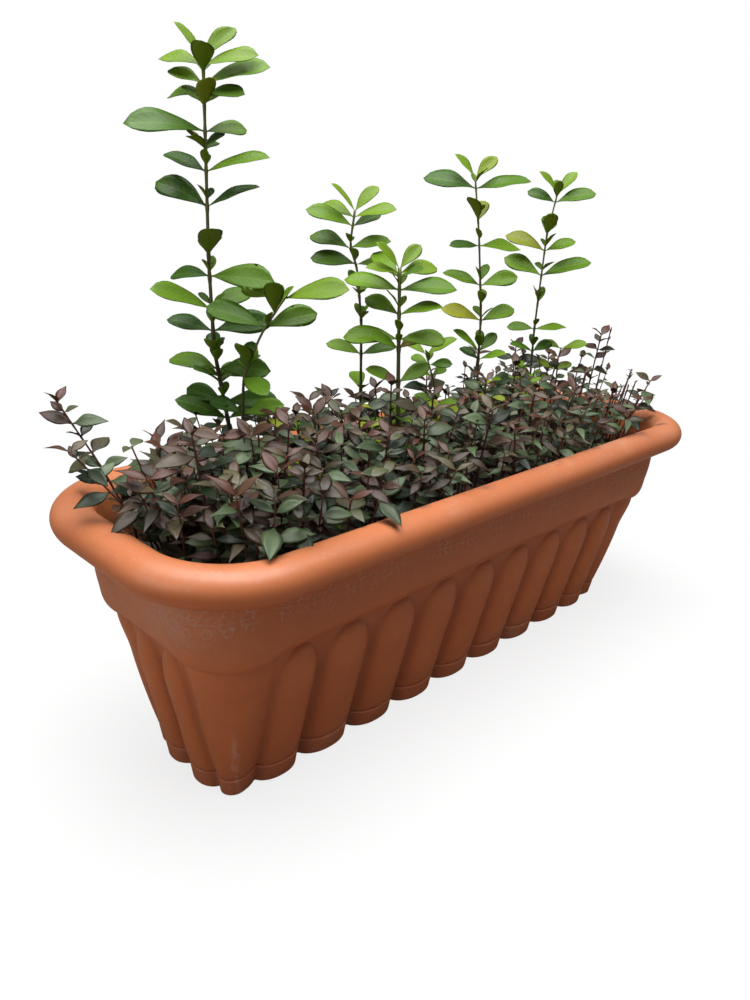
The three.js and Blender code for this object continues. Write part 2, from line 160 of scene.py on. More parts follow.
def smoothstep(value: Array, low: float, high: float) -> Array:
    """A soft step from 0 at low to 1 at high."""
    t = np.clip((value - low) / (high - low), 0.0, 1.0)
    return t * t * (3.0 - 2.0 * t)


def falling(value: Array, low: float, high: float) -> Array:
    """A soft step from 1 at low to 0 at high."""
    return 1.0 - smoothstep(value, low, high)


def stand(piece: bpy.types.Object, slot: Slot, *nodes: str) -> None:
    """Lets a piece ride on the part's body, and hides the nodes it stands for.

    Args:
        piece: the piece.
        slot: the record's material slot that it belongs to; not used.
        nodes: the CAD nodes that it replaces.
    """
    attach(piece, "root")
    if nodes:
        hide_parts(*nodes)
    log.info("%s: %d faces", piece.name, len(piece.data.polygons))


class SeededDraw:
    """Repeatable random numbers, the same that the part's source draws."""

    WORD = 0xFFFFFFFF

    def __init__(self, seed: int) -> None:
        """Starts the run."""
        self.state = seed & self.WORD

    def share(self) -> float:
        """The next number from 0 to 1.

        Returns:
            The number.
        """
        self.state = (self.state + 0x6D2B79F5) & self.WORD
        t = self.state
        t = ((t ^ (t >> 15)) * (t | 1)) & self.WORD
        t ^= (t + (t ^ (t >> 7)) * (t | 61)) & self.WORD
        return ((t ^ (t >> 14)) & self.WORD) / (self.WORD + 1)

    def around(self, middle: float, spread: float) -> float:
        """A number within plus or minus spread of middle."""
        return middle + (self.share() * 2.0 - 1.0) * spread


# ---- Drafting materials
@dataclass(frozen=True)
class Wire:
    """One value in a node tree, which adds, multiplies and compares like a number.

    Args:
        desk: the desk whose tree holds the value.
        socket: the output socket that carries it.
    """

    desk: "NodeDesk"
    socket: bpy.types.NodeSocket

    def __add__(self, other: "Wire | float") -> "Wire":
        """The sum."""
        return self.desk.math("ADD", self, other)

    def __sub__(self, other: "Wire | float") -> "Wire":
        """The difference."""
        return self.desk.math("SUBTRACT", self, other)

    def __mul__(self, other: "Wire | float") -> "Wire":
        """The product."""
        return self.desk.math("MULTIPLY", self, other)

    def __truediv__(self, other: "Wire | float") -> "Wire":
        """The quotient."""
        return self.desk.math("DIVIDE", self, other)

    def size(self) -> "Wire":
        """The value without its sign."""
        return self.desk.math("ABSOLUTE", self)

    def wrapped(self, low: float, high: float) -> "Wire":
        """The value brought between low and high by whole turns."""
        return self.desk.math("WRAP", self, high, low)

    def above(self, low: float, high: float) -> "Wire":
        """A soft step from 0 at low to 1 at high."""
        return self.desk.step(self, low, high)

    def below(self, low: float, high: float) -> "Wire":
        """A soft step from 1 at low to 0 at high."""
        return self.desk.step(self, low, high, falling=True)

    def most(self, other: "Wire") -> "Wire":
        """The larger of two values."""
        return self.desk.math("MAXIMUM", self, other)


@dataclass(frozen=True)
class Patches:
    """Noise whose contrast is raised until it leaves clear patches.

    Args:
        scale: how fine the noise is.
        detail: how many finer noises lie over the first.
        squash: how much finer the noise is along each axis.
    """

    scale: float
    low: float
    high: float
    detail: float = 3.0
    rough: float = 0.55
    squash: tuple[float, float, float] | None = None


@dataclass(frozen=True)
class NodeDesk:
    """A node tree, with short calls for the nodes that the finishes are made of."""

    tree: bpy.types.NodeTree

    def put(self, kind: str, **settings: object) -> bpy.types.Node:
        """Adds a node and sets its own settings.

        Args:
            kind: the node's type.
            settings: the node's settings by name.

        Returns:
            The node.
        """
        node = self.tree.nodes.new(kind)
        for name, value in settings.items():
            setattr(node, name, value)
        return node

    def feed(self, socket: bpy.types.NodeSocket, value: object) -> None:
        """Links a wire to a socket, or sets a plain value on it.

        Args:
            socket: the input socket.
            value: a wire, a number, or a colour of three numbers.
        """
        if isinstance(value, Wire):
            self.tree.links.new(value.socket, socket)
        elif isinstance(value, tuple) and socket.type == "RGBA":
            socket.default_value = (*value, 1.0)
        else:
            socket.default_value = value

    def math(self, operation: str, *terms: "Wire | float") -> Wire:
        """One Math node.

        Args:
            operation: what the node does.
            terms: the wires or numbers that it works on.

        Returns:
            Its result.
        """
        node = self.put("ShaderNodeMath", operation=operation)
        for socket, term in zip(node.inputs, terms):
            self.feed(socket, term)
        return Wire(self, node.outputs[0])

    def step(self, value: Wire, low: float, high: float, falling: bool = False) -> Wire:
        """A soft step of a value between low and high.

        Args:
            value: the value.
            low: where the step starts.
            high: where it ends.
            falling: whether it falls from 1 to 0 instead of rising.

        Returns:
            The step.
        """
        node = self.put("ShaderNodeMapRange", interpolation_type="SMOOTHSTEP")
        ends = (1.0, 0.0) if falling else (0.0, 1.0)
        for name, number in zip(("Value", "From Min", "From Max", "To Min", "To Max"),
                                (value, low, high, *ends)):
            self.feed(node.inputs[name], number)
        return Wire(self, node.outputs["Result"])

    def mark(self, name: str) -> Wire:
        """A mark that the mesh's points carry."""
        return Wire(self, self.put("ShaderNodeAttribute", attribute_name=name).outputs["Fac"])

    def place(self) -> Wire:
        """The point's place in the object, in metres."""
        return Wire(self, self.put("ShaderNodeTexCoord").outputs["Object"])

    def noise(self, scale: "Wire | float", detail: float = 3.0, rough: float = 0.55,
              squash: tuple[float, float, float] | None = None) -> Wire:
        """Soft noise over the object, finer with a larger scale, stretched by squash.

        Args:
            scale: how fine it is.
            detail: how many finer noises lie over the first.
            rough: how strong the finer ones are.
            squash: how much finer it is along each axis.

        Returns:
            The noise.
        """
        where = self.place()
        if squash:
            mapping = self.put("ShaderNodeMapping")
            self.feed(mapping.inputs["Vector"], where)
            mapping.inputs["Scale"].default_value = squash
            where = Wire(self, mapping.outputs["Vector"])
        node = self.put("ShaderNodeTexNoise")
        self.feed(node.inputs["Vector"], where)
        self.feed(node.inputs["Scale"], scale)
        node.inputs["Detail"].default_value = detail
        node.inputs["Roughness"].default_value = rough
        return Wire(self, node.outputs["Fac"])

    def patches(self, kind: Patches) -> Wire:
        """A mask of patches, 1 inside them and 0 between them."""
        return self.noise(kind.scale, kind.detail, kind.rough, kind.squash).above(
            kind.low, kind.high)

    def blend(self, share: "Wire | float", first: object, second: object) -> Wire:
        """A colour between first, at share 0, and second, at share 1.

        Args:
            share: how far it is from the first to the second.
            first: the first colour.
            second: the second colour.

        Returns:
            The colour.
        """
        node = self.put("ShaderNodeMix", data_type="RGBA")
        for number, value in ((0, share), (6, first), (7, second)):
            self.feed(node.inputs[number], value)
        return Wire(self, node.outputs[2])

    def bump(self, height: Wire, distance: float, strength: float = 1.0,
             under: Wire | None = None) -> Wire:
        """A normal bumped by a height, over another bump if one is given.

        Args:
            height: the height, from 0 to 1.
            distance: what a height of 1 stands for, in metres.
            strength: how strongly it shows.
            under: a normal that is bumped already.

        Returns:
            The normal.
        """
        node = self.put("ShaderNodeBump")
        node.inputs["Distance"].default_value = distance
        node.inputs["Strength"].default_value = strength
        self.feed(node.inputs["Height"], height)
        if under:
            self.feed(node.inputs["Normal"], under)
        return Wire(self, node.outputs["Normal"])

    def effect(self, kind: "SharedEffect", **values: object) -> dict[str, Wire]:
        """Places a shared effect with its own values.

        Args:
            kind: the effect.
            values: its inputs by name.

        Returns:
            Its outputs by name.
        """
        node = self.put("ShaderNodeGroup", node_tree=kind.group())
        for name, value in values.items():
            self.feed(node.inputs[name], value)
        return {socket.name: Wire(self, socket) for socket in node.outputs}

    def dress(self, shader: bpy.types.Node, colour: Wire, rough: Wire, normal: Wire) -> None:
        """Feeds a Principled shader its colour, its roughness and its normal."""
        for name, wire in (("Base Color", colour), ("Roughness", rough), ("Normal", normal)):
            self.feed(shader.inputs[name], wire)


COLOURS = ("Dark", "Light", "Fleck", "Colour")


class SharedEffect:
    """An effect that more than one material may use, as a node group that is drawn once.

    Each kind of effect gives its name, its inputs and its outputs, and draws its inside. They
    are numbers, but for those named in COLOURS.
    """

    NAME = ""
    TAKES: tuple[str, ...] = ()
    GIVES: tuple[str, ...] = ()

    def draw(self, desk: NodeDesk, given: dict[str, Wire]) -> dict[str, Wire]:
        """Draws the inside.

        Args:
            desk: the group's desk.
            given: the inputs by name.

        Returns:
            The outputs by name.
        """
        raise NotImplementedError

    def group(self) -> bpy.types.NodeTree:
        """Makes the node group, unless it is there already.

        Returns:
            The group.
        """
        if self.NAME in bpy.data.node_groups:
            return bpy.data.node_groups[self.NAME]
        tree = bpy.data.node_groups.new(self.NAME, "ShaderNodeTree")
        for in_out, titles in (("INPUT", self.TAKES), ("OUTPUT", self.GIVES)):
            for title in titles:
                kind = "NodeSocketColor" if title in COLOURS else "NodeSocketFloat"
                tree.interface.new_socket(name=title, in_out=in_out, socket_type=kind)
        desk = NodeDesk(tree)
        way_in, way_out = desk.put("NodeGroupInput"), desk.put("NodeGroupOutput")
        made = self.draw(desk, {s.name: Wire(desk, s) for s in way_in.outputs if s.name})
        for title, wire in made.items():
            desk.feed(way_out.inputs[title], wire)
        return tree


@dataclass(frozen=True)
class ToneVariation(SharedEffect):
    """Broad and fine variation of a colour, between a darker and a lighter one."""

    NAME = "tone_variation"
    TAKES = ("Dark", "Light", "Fleck", "Scale", "Fine")
    GIVES = ("Colour", "Mottle")
    broad_edge: Span = (0.32, 0.68)
    fine_edge: Span = (0.3, 0.75)
    finer: float = 9.0

    def draw(self, desk: NodeDesk, given: dict[str, Wire]) -> dict[str, Wire]:
        """Draws broad clouds with finer flecks over them.

        Args:
            desk: the group's desk.
            given: the inputs by name.

        Returns:
            The outputs by name.
        """
        broad = desk.noise(given["Scale"], 2.0).above(*self.broad_edge)
        fine = desk.noise(given["Scale"] * self.finer, 4.0, 0.65).above(*self.fine_edge)
        colour = desk.blend(broad, given["Dark"], given["Light"])
        mixed = desk.blend(fine * given["Fine"], colour, given["Fleck"])
        return {"Colour": mixed, "Mottle": broad * 0.5 + fine * 0.5}


@dataclass(frozen=True)
class DustPatches(SharedEffect):
    """Patches where dry dust clings, as a mask."""

    NAME = "dust"
    TAKES = ("Scale", "Amount")
    GIVES = ("Mask",)
    cloud_edge: Span = (0.48, 0.74)
    cloud_share: float = 0.6
    speck_edge: Span = (0.58, 0.74)
    speck_share: float = 0.7
    finer: float = 24.0

    def draw(self, desk: NodeDesk, given: dict[str, Wire]) -> dict[str, Wire]:
        """Draws clouds of dust and specks.

        Args:
            desk: the group's desk.
            given: the inputs by name.

        Returns:
            The outputs by name.
        """
        cloud = desk.noise(given["Scale"], 6.0, 0.7).above(*self.cloud_edge)
        specks = desk.noise(given["Scale"] * self.finer, 2.0, 0.6).above(*self.speck_edge)
        return {"Mask": (cloud * self.cloud_share + specks * self.speck_share) * given["Amount"]}


@dataclass(frozen=True)
class LeafVeins(SharedEffect):
    """A leaf's midrib and its slanting side veins, from shares along and across the blade."""

    NAME = "leaf_veins"
    TAKES = ("Along", "Across", "Pairs", "Slant")
    GIVES = ("Vein", "Quilt")
    midrib_edge: Span = (0.02, 0.13)
    side_edge: Span = (0.0, 0.16)
    margin: Span = (0.7, 1.0)
    side_share: float = 0.65
    midrib_sunk: float = 0.8

    def draw(self, desk: NodeDesk, given: dict[str, Wire]) -> dict[str, Wire]:
        """Draws the veins, and the swelling of the blade between them.

        Args:
            desk: the group's desk.
            given: the inputs by name.

        Returns:
            The outputs by name.
        """
        across = given["Across"].size()
        phase = given["Along"] * given["Pairs"] - across * given["Slant"]
        away = phase.wrapped(-0.5, 0.5).size()
        side = away.below(*self.side_edge) * across.below(*self.margin)
        midrib = across.below(*self.midrib_edge)
        quilt = away.above(0.0, 0.5) * across.above(0.0, 0.25)
        return {"Vein": side * self.side_share + midrib,
                "Quilt": quilt - midrib * self.midrib_sunk}


@dataclass(frozen=True)
class Garland(SharedEffect):
    """The faint moulded garland of the band, in millimetres: swags of scrolls and small leaves."""

    NAME = "garland_relief"
    TAKES = ("Run", "Rise")
    GIVES = ("Height",)
    period: float = 160.0
    shift: float = 0.0
    foot: float = 209.0
    droop: float = 12.0
    vine_edge: Span = (0.5, 1.5)
    leaf_pitch: float = 9.0
    leaf_out: float = 4.6
    leaf_slant: float = 0.6
    leaf_long: float = 3.9
    leaf_wide: float = 2.3
    leaf_height: float = 0.8
    curl_pitch: float = 17.0
    curl_out: float = 9.0
    curl_reach: float = 3.6
    curl_edge: Span = (0.5, 1.4)
    swag_ends: Span = (0.86, 0.97)

    def draw(self, desk: NodeDesk, given: dict[str, Wire]) -> dict[str, Wire]:
        """Draws the relief's height, from the distance along the band and above the floor.

        Args:
            desk: the group's desk.
            given: the inputs by name.

        Returns:
            The outputs by name.
        """
        half = self.period / 2
        along = (given["Run"] + self.shift).wrapped(-half, half)
        share = along / half
        off = given["Rise"] - (share * share * self.droop + self.foot)
        away = off.size()
        vine = away.below(*self.vine_edge)
        out = away - self.leaf_out
        pitched = along.wrapped(-self.leaf_pitch / 2, self.leaf_pitch / 2)
        wide = (pitched - out * self.leaf_slant) / self.leaf_wide
        long = out / self.leaf_long
        leaf = (wide * wide + long * long).below(0.5, 1.2)
        curl_x = along.wrapped(-self.curl_pitch / 2, self.curl_pitch / 2)
        curl_y = away - self.curl_out
        curl = desk.math("SQRT", curl_x * curl_x + curl_y * curl_y) - self.curl_reach
        scroll = curl.size().below(*self.curl_edge)
        ends = share.size().below(*self.swag_ends)
        return {"Height": vine.most(leaf * self.leaf_height).most(scroll) * ends}


def new_material(name: str) -> tuple[bpy.types.Material, NodeDesk, bpy.types.Node]:
    """Makes a material with a Principled shader.

    Args:
        name: the material's name.

    Returns:
        The material, its desk and its shader, ready to be fed.
    """
    material = bpy.data.materials.new(name)
    material.use_nodes = True
    return material, NodeDesk(material.node_tree), material.node_tree.nodes["Principled BSDF"]


@dataclass(frozen=True)
class TerracottaFinish:
    """Weathered satin terracotta plastic.

    Args:
        relief: the garland that is moulded in its band, if there is one.
        groove_shade: how much painted shade, in the grime colour, darkens a groove by its depth.
        veil: how much dust lies evenly where it is dusty.
        wash: where rain has left the dust.
    """

    name: str
    dark: Colour = (0.47, 0.135, 0.043)
    light: Colour = (0.55, 0.168, 0.058)
    # Pale colour of dust and scuffs, and of the painted highlight on the rim's top.
    chalk_and_sheen: Colour = (0.5, 0.31, 0.225)
    lime: Colour = (0.58, 0.42, 0.34)
    # Dark colour of real smudges on the rim, and of painted shade in the grooves and down the inner
    # wall.
    grime_and_shade: Colour = (0.075, 0.032, 0.03)
    roughness: float = 0.34
    relief: Garland | None = None
    relief_height: float = 0.0004
    groove_shade: float = 0.34
    # veil: how much dust, and painted highlight on the rim's top, lies evenly where the dust mark
    # is set.
    veil: float = 0.22
    relief_dust: float = 0.8
    relief_lime: float = 0.3
    lime_show: float = 0.55
    smudge_show: float = 0.72
    scuff_show: float = 0.08
    worn: Patches = Patches(55.0, 0.34, 0.56, 4.0, 0.65)
    flecks: Patches = Patches(420.0, 0.4, 0.6, 3.0, 0.7)
    wash: Patches = Patches(14.0, 0.38, 0.6, 2.0)
    streaks: Patches = Patches(190.0, 0.44, 0.6, 5.0, 0.75, (1.0, 1.0, 0.3))
    smears: Patches = Patches(110.0, 0.3, 0.62, 4.0, 0.7)
    scuffs: Patches = Patches(60.0, 0.6, 0.72, 5.0, 0.75, (0.25, 1.0, 1.6))

    def make(self) -> bpy.types.Material:
        """Builds the material.

        Returns:
            The material.
        """
        material, desk, shader = new_material(self.name)
        tone = desk.effect(ToneVariation(), Dark=self.dark, Light=self.light,
                           Fleck=tuple(c * 0.85 for c in self.dark), Scale=5.0, Fine=0.35)
        # Painted shade: each groove is darkened towards the grime colour by how deep it is sunk.
        colour = desk.blend(desk.mark("hollow") * self.groove_shade, tone["Colour"], self.grime_and_shade)
        dust = desk.effect(DustPatches(), Scale=11.0, Amount=desk.mark("dust_and_sheen"))["Mask"]
        # The dust mark also paints a highlight on the rim's top.
        dust = dust + desk.mark("dust_and_sheen") * self.veil
        normal = desk.bump(desk.noise(1300.0, 2.0), 0.00004, 0.5)
        if self.relief:
            height = desk.effect(self.relief, Run=desk.mark("run"), Rise=desk.mark("rise"))[
                "Height"] * desk.mark("banded")
            worn = desk.patches(self.worn)
            normal = desk.bump(height * worn, self.relief_height, 0.8, normal)
            crust = height * desk.patches(self.flecks) * worn
            washed = desk.patches(self.wash) * 0.5 + 0.5
            dust = dust.most(crust * washed * self.relief_dust)
            colour = desk.blend(dust, colour, self.chalk_and_sheen)
            colour = desk.blend(crust * self.relief_lime, colour, self.lime)
        else:
            colour = desk.blend(dust, colour, self.chalk_and_sheen)
        lime = desk.mark("lime") * desk.patches(self.streaks)
        colour = desk.blend(lime * self.lime_show, colour, self.lime)
        # The smudge mark holds real smudges on the rim and painted shade down the inner wall.
        smudge_and_shade = desk.mark("smudge_and_shade") * desk.patches(self.smears)
        colour = desk.blend(smudge_and_shade * self.smudge_show, colour, self.grime_and_shade)
        colour = desk.blend(desk.patches(self.scuffs) * self.scuff_show, colour, self.chalk_and_sheen)
        rough = tone["Mottle"] * 0.12 + dust * 0.3 + lime * 0.3 + smudge_and_shade * 0.2 + self.roughness
        desk.dress(shader, colour, rough, normal)
        shader.inputs["Specular IOR Level"].default_value = 0.5
        return material


@dataclass(frozen=True)
class SoilFinish:
    """Moist dark potting soil with pale fibres."""

    name: str
    dark: Colour = (0.012, 0.008, 0.006)
    light: Colour = (0.05, 0.032, 0.022)
    fleck: Colour = (0.13, 0.09, 0.055)
    roughness: float = 0.75
    crumb_height: float = 0.0016

    def make(self) -> bpy.types.Material:
        """Builds the material.

        Returns:
            The material.
        """
        material, desk, shader = new_material(self.name)
        tone = desk.effect(ToneVariation(), Dark=self.dark, Light=self.light, Fleck=self.fleck,
                           Scale=38.0, Fine=0.5)
        desk.dress(shader, tone["Colour"], tone["Mottle"] * 0.2 + self.roughness,
                   desk.bump(desk.noise(260.0, 5.0, 0.7), self.crumb_height))
        return material


@dataclass(frozen=True)
class LeafFinish:
    """A leaf's upper and lower face, its veins, and how it varies from leaf to leaf.

    Args:
        warm: the colour that the odd leaf turns to.
        under_share: how much of the lower face's colour shows there. Where that colour is lighter
            than the upper face, it is partly painted glow of light shining through.
        vein_slant: how far the side veins run forward.
        quilt: how far the blade swells between its veins, in metres.
    """

    name: str
    deep: Colour
    bright: Colour
    warm: Colour
    young: Colour
    under: Colour
    vein: Colour
    under_share: float = 0.6
    vein_pairs: float = 9.0
    vein_slant: float = 2.2
    vein_show: float = 0.4
    blotch_show: float = 0.14
    dust_amount: float = 0.03
    dust: Colour = (0.3, 0.31, 0.26)
    roughness: float = 0.38
    quilt: float = 0.0003
    grain: float = 0.00006
    shine: float = 0.4

    def make(self) -> bpy.types.Material:
        """Builds the material.

        Returns:
            The material.
        """
        material, desk, shader = new_material(self.name)
        lower = desk.mark("lower")
        colour = desk.blend(desk.mark("tint").above(0.1, 0.85), self.deep, self.bright)
        colour = desk.blend(desk.mark("warmth"), colour, self.warm)
        colour = desk.blend(desk.mark("youth"), colour, self.young)
        blotch = desk.effect(ToneVariation(), Dark=(0.0, 0.0, 0.0), Light=(1.0, 1.0, 1.0),
                             Fleck=(0.5, 0.5, 0.5), Scale=24.0, Fine=0.2)["Mottle"]
        colour = desk.blend(blotch.above(0.3, 0.9) * self.blotch_show, colour, self.deep)
        veins = desk.effect(LeafVeins(), Along=desk.mark("along"), Across=desk.mark("across"),
                            Pairs=self.vein_pairs, Slant=self.vein_slant)
        colour = desk.blend(veins["Vein"] * self.vein_show, colour, self.vein)
        # Lower face: its own colour, and on the green leaf also a painted glow, lighter than the
        # upper face, for light shining through.
        colour = desk.blend(lower * self.under_share, colour, self.under)
        dust = desk.effect(DustPatches(), Scale=45.0, Amount=self.dust_amount)["Mask"]
        fine = desk.bump(desk.noise(120.0, 2.0), self.grain, 0.5)
        desk.dress(shader, desk.blend(dust, colour, self.dust),
                   blotch * 0.15 + lower * 0.2 + self.roughness,
                   desk.bump(veins["Quilt"], self.quilt, 0.8, fine))
        shader.inputs["Specular IOR Level"].default_value = self.shine
        return material


@dataclass(frozen=True)
class StemFinish:
    """Bark of a thin stem, streaked along it and greener or redder where it is young."""

    name: str
    dark: Colour
    light: Colour
    tip: Colour
    roughness: float = 0.5
    ridge_height: float = 0.0003

    def make(self) -> bpy.types.Material:
        """Builds the material.

        Returns:
            The material.
        """
        material, desk, shader = new_material(self.name)
        tone = desk.effect(ToneVariation(), Dark=self.dark, Light=self.light,
                           Fleck=tuple(c * 0.5 for c in self.dark), Scale=50.0, Fine=0.6)
        colour = desk.blend(desk.mark("youth") * 0.8, tone["Colour"], self.tip)
        ridges = desk.noise(600.0, 3.0, 0.6, squash=(1.0, 1.0, 0.15))
        desk.dress(shader, colour, tone["Mottle"] * 0.2 + self.roughness,
                   desk.bump(ridges, self.ridge_height))
        return material


# ---- The box's outline
class Quarter(Enum):
    """The corners of the plan, met going anticlockwise, as signs along x and y."""

    BACK_RIGHT = (1, 1)
    BACK_LEFT = (-1, 1)
    FRONT_LEFT = (-1, -1)
    FRONT_RIGHT = (1, -1)


@dataclass
class BoxPlan:
    """The box seen from above, in millimetres. Every outline is an inset of the rim's lip."""

    half_length: float = 400.0
    half_width: float = 138.0
    corner: float = 92.0
    corner_run_long: float = 18.0
    corner_run_end: float = 4.0
    edge_lobe: float = 54.6
    front_lobes: int = 7
    end_lobes: int = 2
    lobe_samples: int = 26
    corner_samples: int = 40
    band_inset: float = 24.5

    def __post_init__(self) -> None:
        """Lists the samples round the outline, lobe by lobe."""
        self.straight = np.array([self.half_length - self.corner, self.half_width - self.corner])
        rows: list[tuple[float, ...]] = []
        for k in range(4):
            rows += self._samples(k, 1.0, self._reach(k + 1), self._reach(k), (1.0, 1.0))
            start, widths = self._reach(k), self._widths(k)
            for i, width in enumerate(widths):
                beside = (float(i == 0), float(i == len(widths) - 1))
                rows += self._samples(k, 0.0, start, width, beside)
                start += width
        self.k, self.rounds, self.start, self.width, before, after, self.u = np.array(rows).T
        self.beside_corner = np.where(self.u < 0.5, before, after)
        signs = np.array([q.value for q in Quarter], float)[self.k.astype(int)]
        self.centre = signs * self.straight
        self.count = len(rows)
        band = self.outline(self.band_inset)[0]
        steps = np.linalg.norm(np.roll(band, -1, axis=0) - band, axis=1)
        self.perimeter = float(steps.sum())
        run = np.concatenate([[0.0], np.cumsum(steps)[:-1]])
        front = np.flatnonzero((self.k == 2) & (self.rounds < 0.5))
        self.run = run - np.interp(0.0, band[front, 0], run[front])

    def _samples(self, k: int, rounds: float, start: float, width: float,
                 beside: tuple[float, float]) -> list[tuple[float, ...]]:
        """The samples of one lobe."""
        count = self.corner_samples if rounds else self.lobe_samples
        return [(float(k), rounds, start, width, *beside, i / count) for i in range(count)]

    def _reach(self, k: int) -> float:
        """The corner lobe's reach along side k. Sides 1 and 3 are the ends."""
        return self.corner_run_end if k % 2 else self.corner_run_long

    def _widths(self, k: int) -> list[float]:
        """The widths of the lobes along side k, between the corner lobes.

        Args:
            k: the side's number.

        Returns:
            The widths.
        """
        side = 2 * self.straight[k % 2] - 2 * self._reach(k)
        if k % 2:
            return [side / self.end_lobes] * self.end_lobes
        full = (side - 2 * self.edge_lobe) / self.front_lobes
        return [self.edge_lobe, *[full] * self.front_lobes, self.edge_lobe]

    def outline(self, inset: float) -> tuple[Array, Array]:
        """The points and the outward normals of one inset of the rim's lip.

        Args:
            inset: how far inside the lip it lies.

        Returns:
            The points and the normals, one row a sample.
        """
        radius = self.corner - inset
        turn = self.k * math.pi / 2
        arc = radius * math.pi / 2
        distance = self.u * (self.start + arc + self.width)
        on_arc = np.clip(distance - self.start, 0.0, arc)
        rounding = turn + on_arc / radius
        past = np.minimum(distance - self.start, 0.0) + np.maximum(
            distance - self.start - arc, 0.0)
        normal = np.where(self.rounds > 0.5, rounding, turn + math.pi / 2)
        ahead = np.where(self.rounds > 0.5, past, self.start + self.u * self.width)
        out = np.stack([np.cos(normal), np.sin(normal)], axis=1)
        along = np.stack([-np.sin(normal), np.cos(normal)], axis=1)
        return self.centre + radius * out + ahead[:, None] * along, out

    def keep_inside(self, xy: Array, inset: float) -> Array:
        """Brings points that lie outside an inset onto it.

        Args:
            xy: the points, as rows of x and y.
            inset: how far inside the rim's lip the limit is.

        Returns:
            The points, brought in.
        """
        size = np.abs(xy)
        past = np.maximum(size - self.straight, 0.0)
        length = np.linalg.norm(past, axis=1, keepdims=True)
        limit = self.corner - inset
        past *= np.minimum(1.0, limit / np.maximum(length, 1e-6))
        return np.sign(xy) * (np.minimum(size, self.straight) + past)

    def holds(self, spot: Array, inset: float) -> bool:
        """Whether one place of the plan lies inside an inset, to half a millimetre."""
        return bool(np.abs(self.keep_inside(spot[None], inset)[0] - spot).max() < 0.5)

    def near_corner(self, points: Array) -> tuple[Array, Array]:
        """Picks the near corner's lobe out of the points of whole rings.

        Args:
            points: the points, ring after ring.

        Returns:
            Whether each point is on that lobe, and each point's share across its own lobe.
        """
        rings = len(points) // self.count
        lobe = (self.k == 2) & (self.rounds > 0.5)
        return np.tile(lobe, rings), np.tile(self.u, rings)


@dataclass(frozen=True)
class Flutes:
    """The rounded lobes and the grooves between them, which end in arches under the shoulder.

    Args:
        beside_corner: how deep they are beside a corner lobe, as a share of depth.
        groove_head: the heights where a groove starts to rise, meets the shoulder and is gone.
    """

    depth: float = 9.0
    beside_corner: float = 0.6
    head_depth: float = 2.6
    groove_head: tuple[float, float, float] = (104.0, 158.0, 176.0)
    lobe_share: float = 0.9
    dome_power: float = 2.3
    dome_round: float = 0.62
    foot_swell: float = 6.0
    foot_span: Span = (10.0, 128.0)
    head_swell: float = 4.2
    head_span: Span = (60.0, 130.0)
    corner_swell: float = 5.5
    corner_rise: Span = (112.0, 154.0)
    corner_fall: Span = (156.0, 190.0)
    corner_round: float = 0.34
    arch_foot: float = 112.0
    arch_head: float = 157.5

    def dome(self, x: Array) -> Array:
        """A lobe's section, from 1 at its crown to 0 at its edge and beyond it."""
        return (1.0 - np.minimum(x, 1.0) ** self.dome_power) ** self.dome_round

    def floor(self, plan: BoxPlan, z: float) -> Array:
        """How far the grooves' floors are sunk, until they run out in the shoulder.

        Args:
            plan: the box's outline.
            z: the height.

        Returns:
            The depth at each sample of the outline.
        """
        scale = np.where(plan.beside_corner + plan.rounds > 0.5, self.beside_corner, 1.0)
        start, shoulder, end = self.groove_head
        at = np.array(z)
        rising = smoothstep(at, start, shoulder)
        depth = self.depth * scale * (1.0 - rising) + self.head_depth * rising
        return depth * falling(at, shoulder, end)

    def sunk(self, plan: BoxPlan, z: float) -> Array:
        """How far each point of the outline is sunk at a height.

        Args:
            plan: the box's outline.
            z: the height.

        Returns:
            The depth at each sample, below 0 where a lobe stands out.
        """
        at = np.array(z)
        rise = max((z - self.arch_foot) / (self.arch_head - self.arch_foot), 0.0)
        floor = self.floor(plan, z)
        off = np.abs(plan.u - 0.5) * 2.0
        swell = (self.foot_swell * falling(at, *self.foot_span)
                 + self.head_swell * smoothstep(at, *self.head_span))
        sides = floor - (floor + swell) * self.dome(np.hypot(off / self.lobe_share, rise))
        head = smoothstep(at, *self.corner_rise) * falling(at, *self.corner_fall)
        fall = (self.corner_round * (1.0 - np.cos(np.pi * off / 2))
                + (1.0 - self.corner_round) * off ** 3.0)
        corner = floor * fall - self.corner_swell * head * (1.0 - off ** 2)
        return np.where(plan.rounds > 0.5, corner, sides)


@dataclass
class RingLoft:
    """Rings of the box's outline, stacked into one wall."""

    plan: BoxPlan
    flutes: Flutes
    draft: MeshDraft
    rings: list[Array] = field(default_factory=list)
    hollows: list[Array] = field(default_factory=list)

    def ring(self, inset: float, z: float, fluted_at: float | None = None) -> None:
        """Adds a ring, sunk by the flutes as they are at a height.

        Args:
            inset: how far inside the rim's lip it lies.
            z: its height.
            fluted_at: the height whose flutes sink it. A ring without one is plain.
        """
        xy, out = self.plan.outline(inset)
        sunk = np.zeros(len(xy))
        if fluted_at is not None:
            sunk = self.flutes.sunk(self.plan, fluted_at)
        xy = xy - out * sunk[:, None]
        self.rings.append(np.column_stack([xy, np.full(len(xy), z)]))
        self.hollows.append(np.clip(sunk / self.flutes.depth, 0.0, 1.0))

    def finish(self, **marks: Callable[[Array], Array]) -> None:
        """Puts the rings and their marks in the draft.

        Args:
            marks: what works out a mark from the points, by the mark's name.
        """
        points = np.concatenate(self.rings)
        values = {name: mark(points) for name, mark in marks.items()}
        values["hollow"] = np.concatenate(self.hollows)
        values["run"] = np.tile(self.plan.run, len(self.rings))
        values["rise"] = points[:, 2]
        faces = ring_faces(len(self.rings), self.plan.count, closed_ends=True)
        self.draft.add(points, faces, **values)


BOX_MARKS = ("hollow", "run", "rise", "banded", "dust_and_sheen", "lime", "smudge_and_shade")


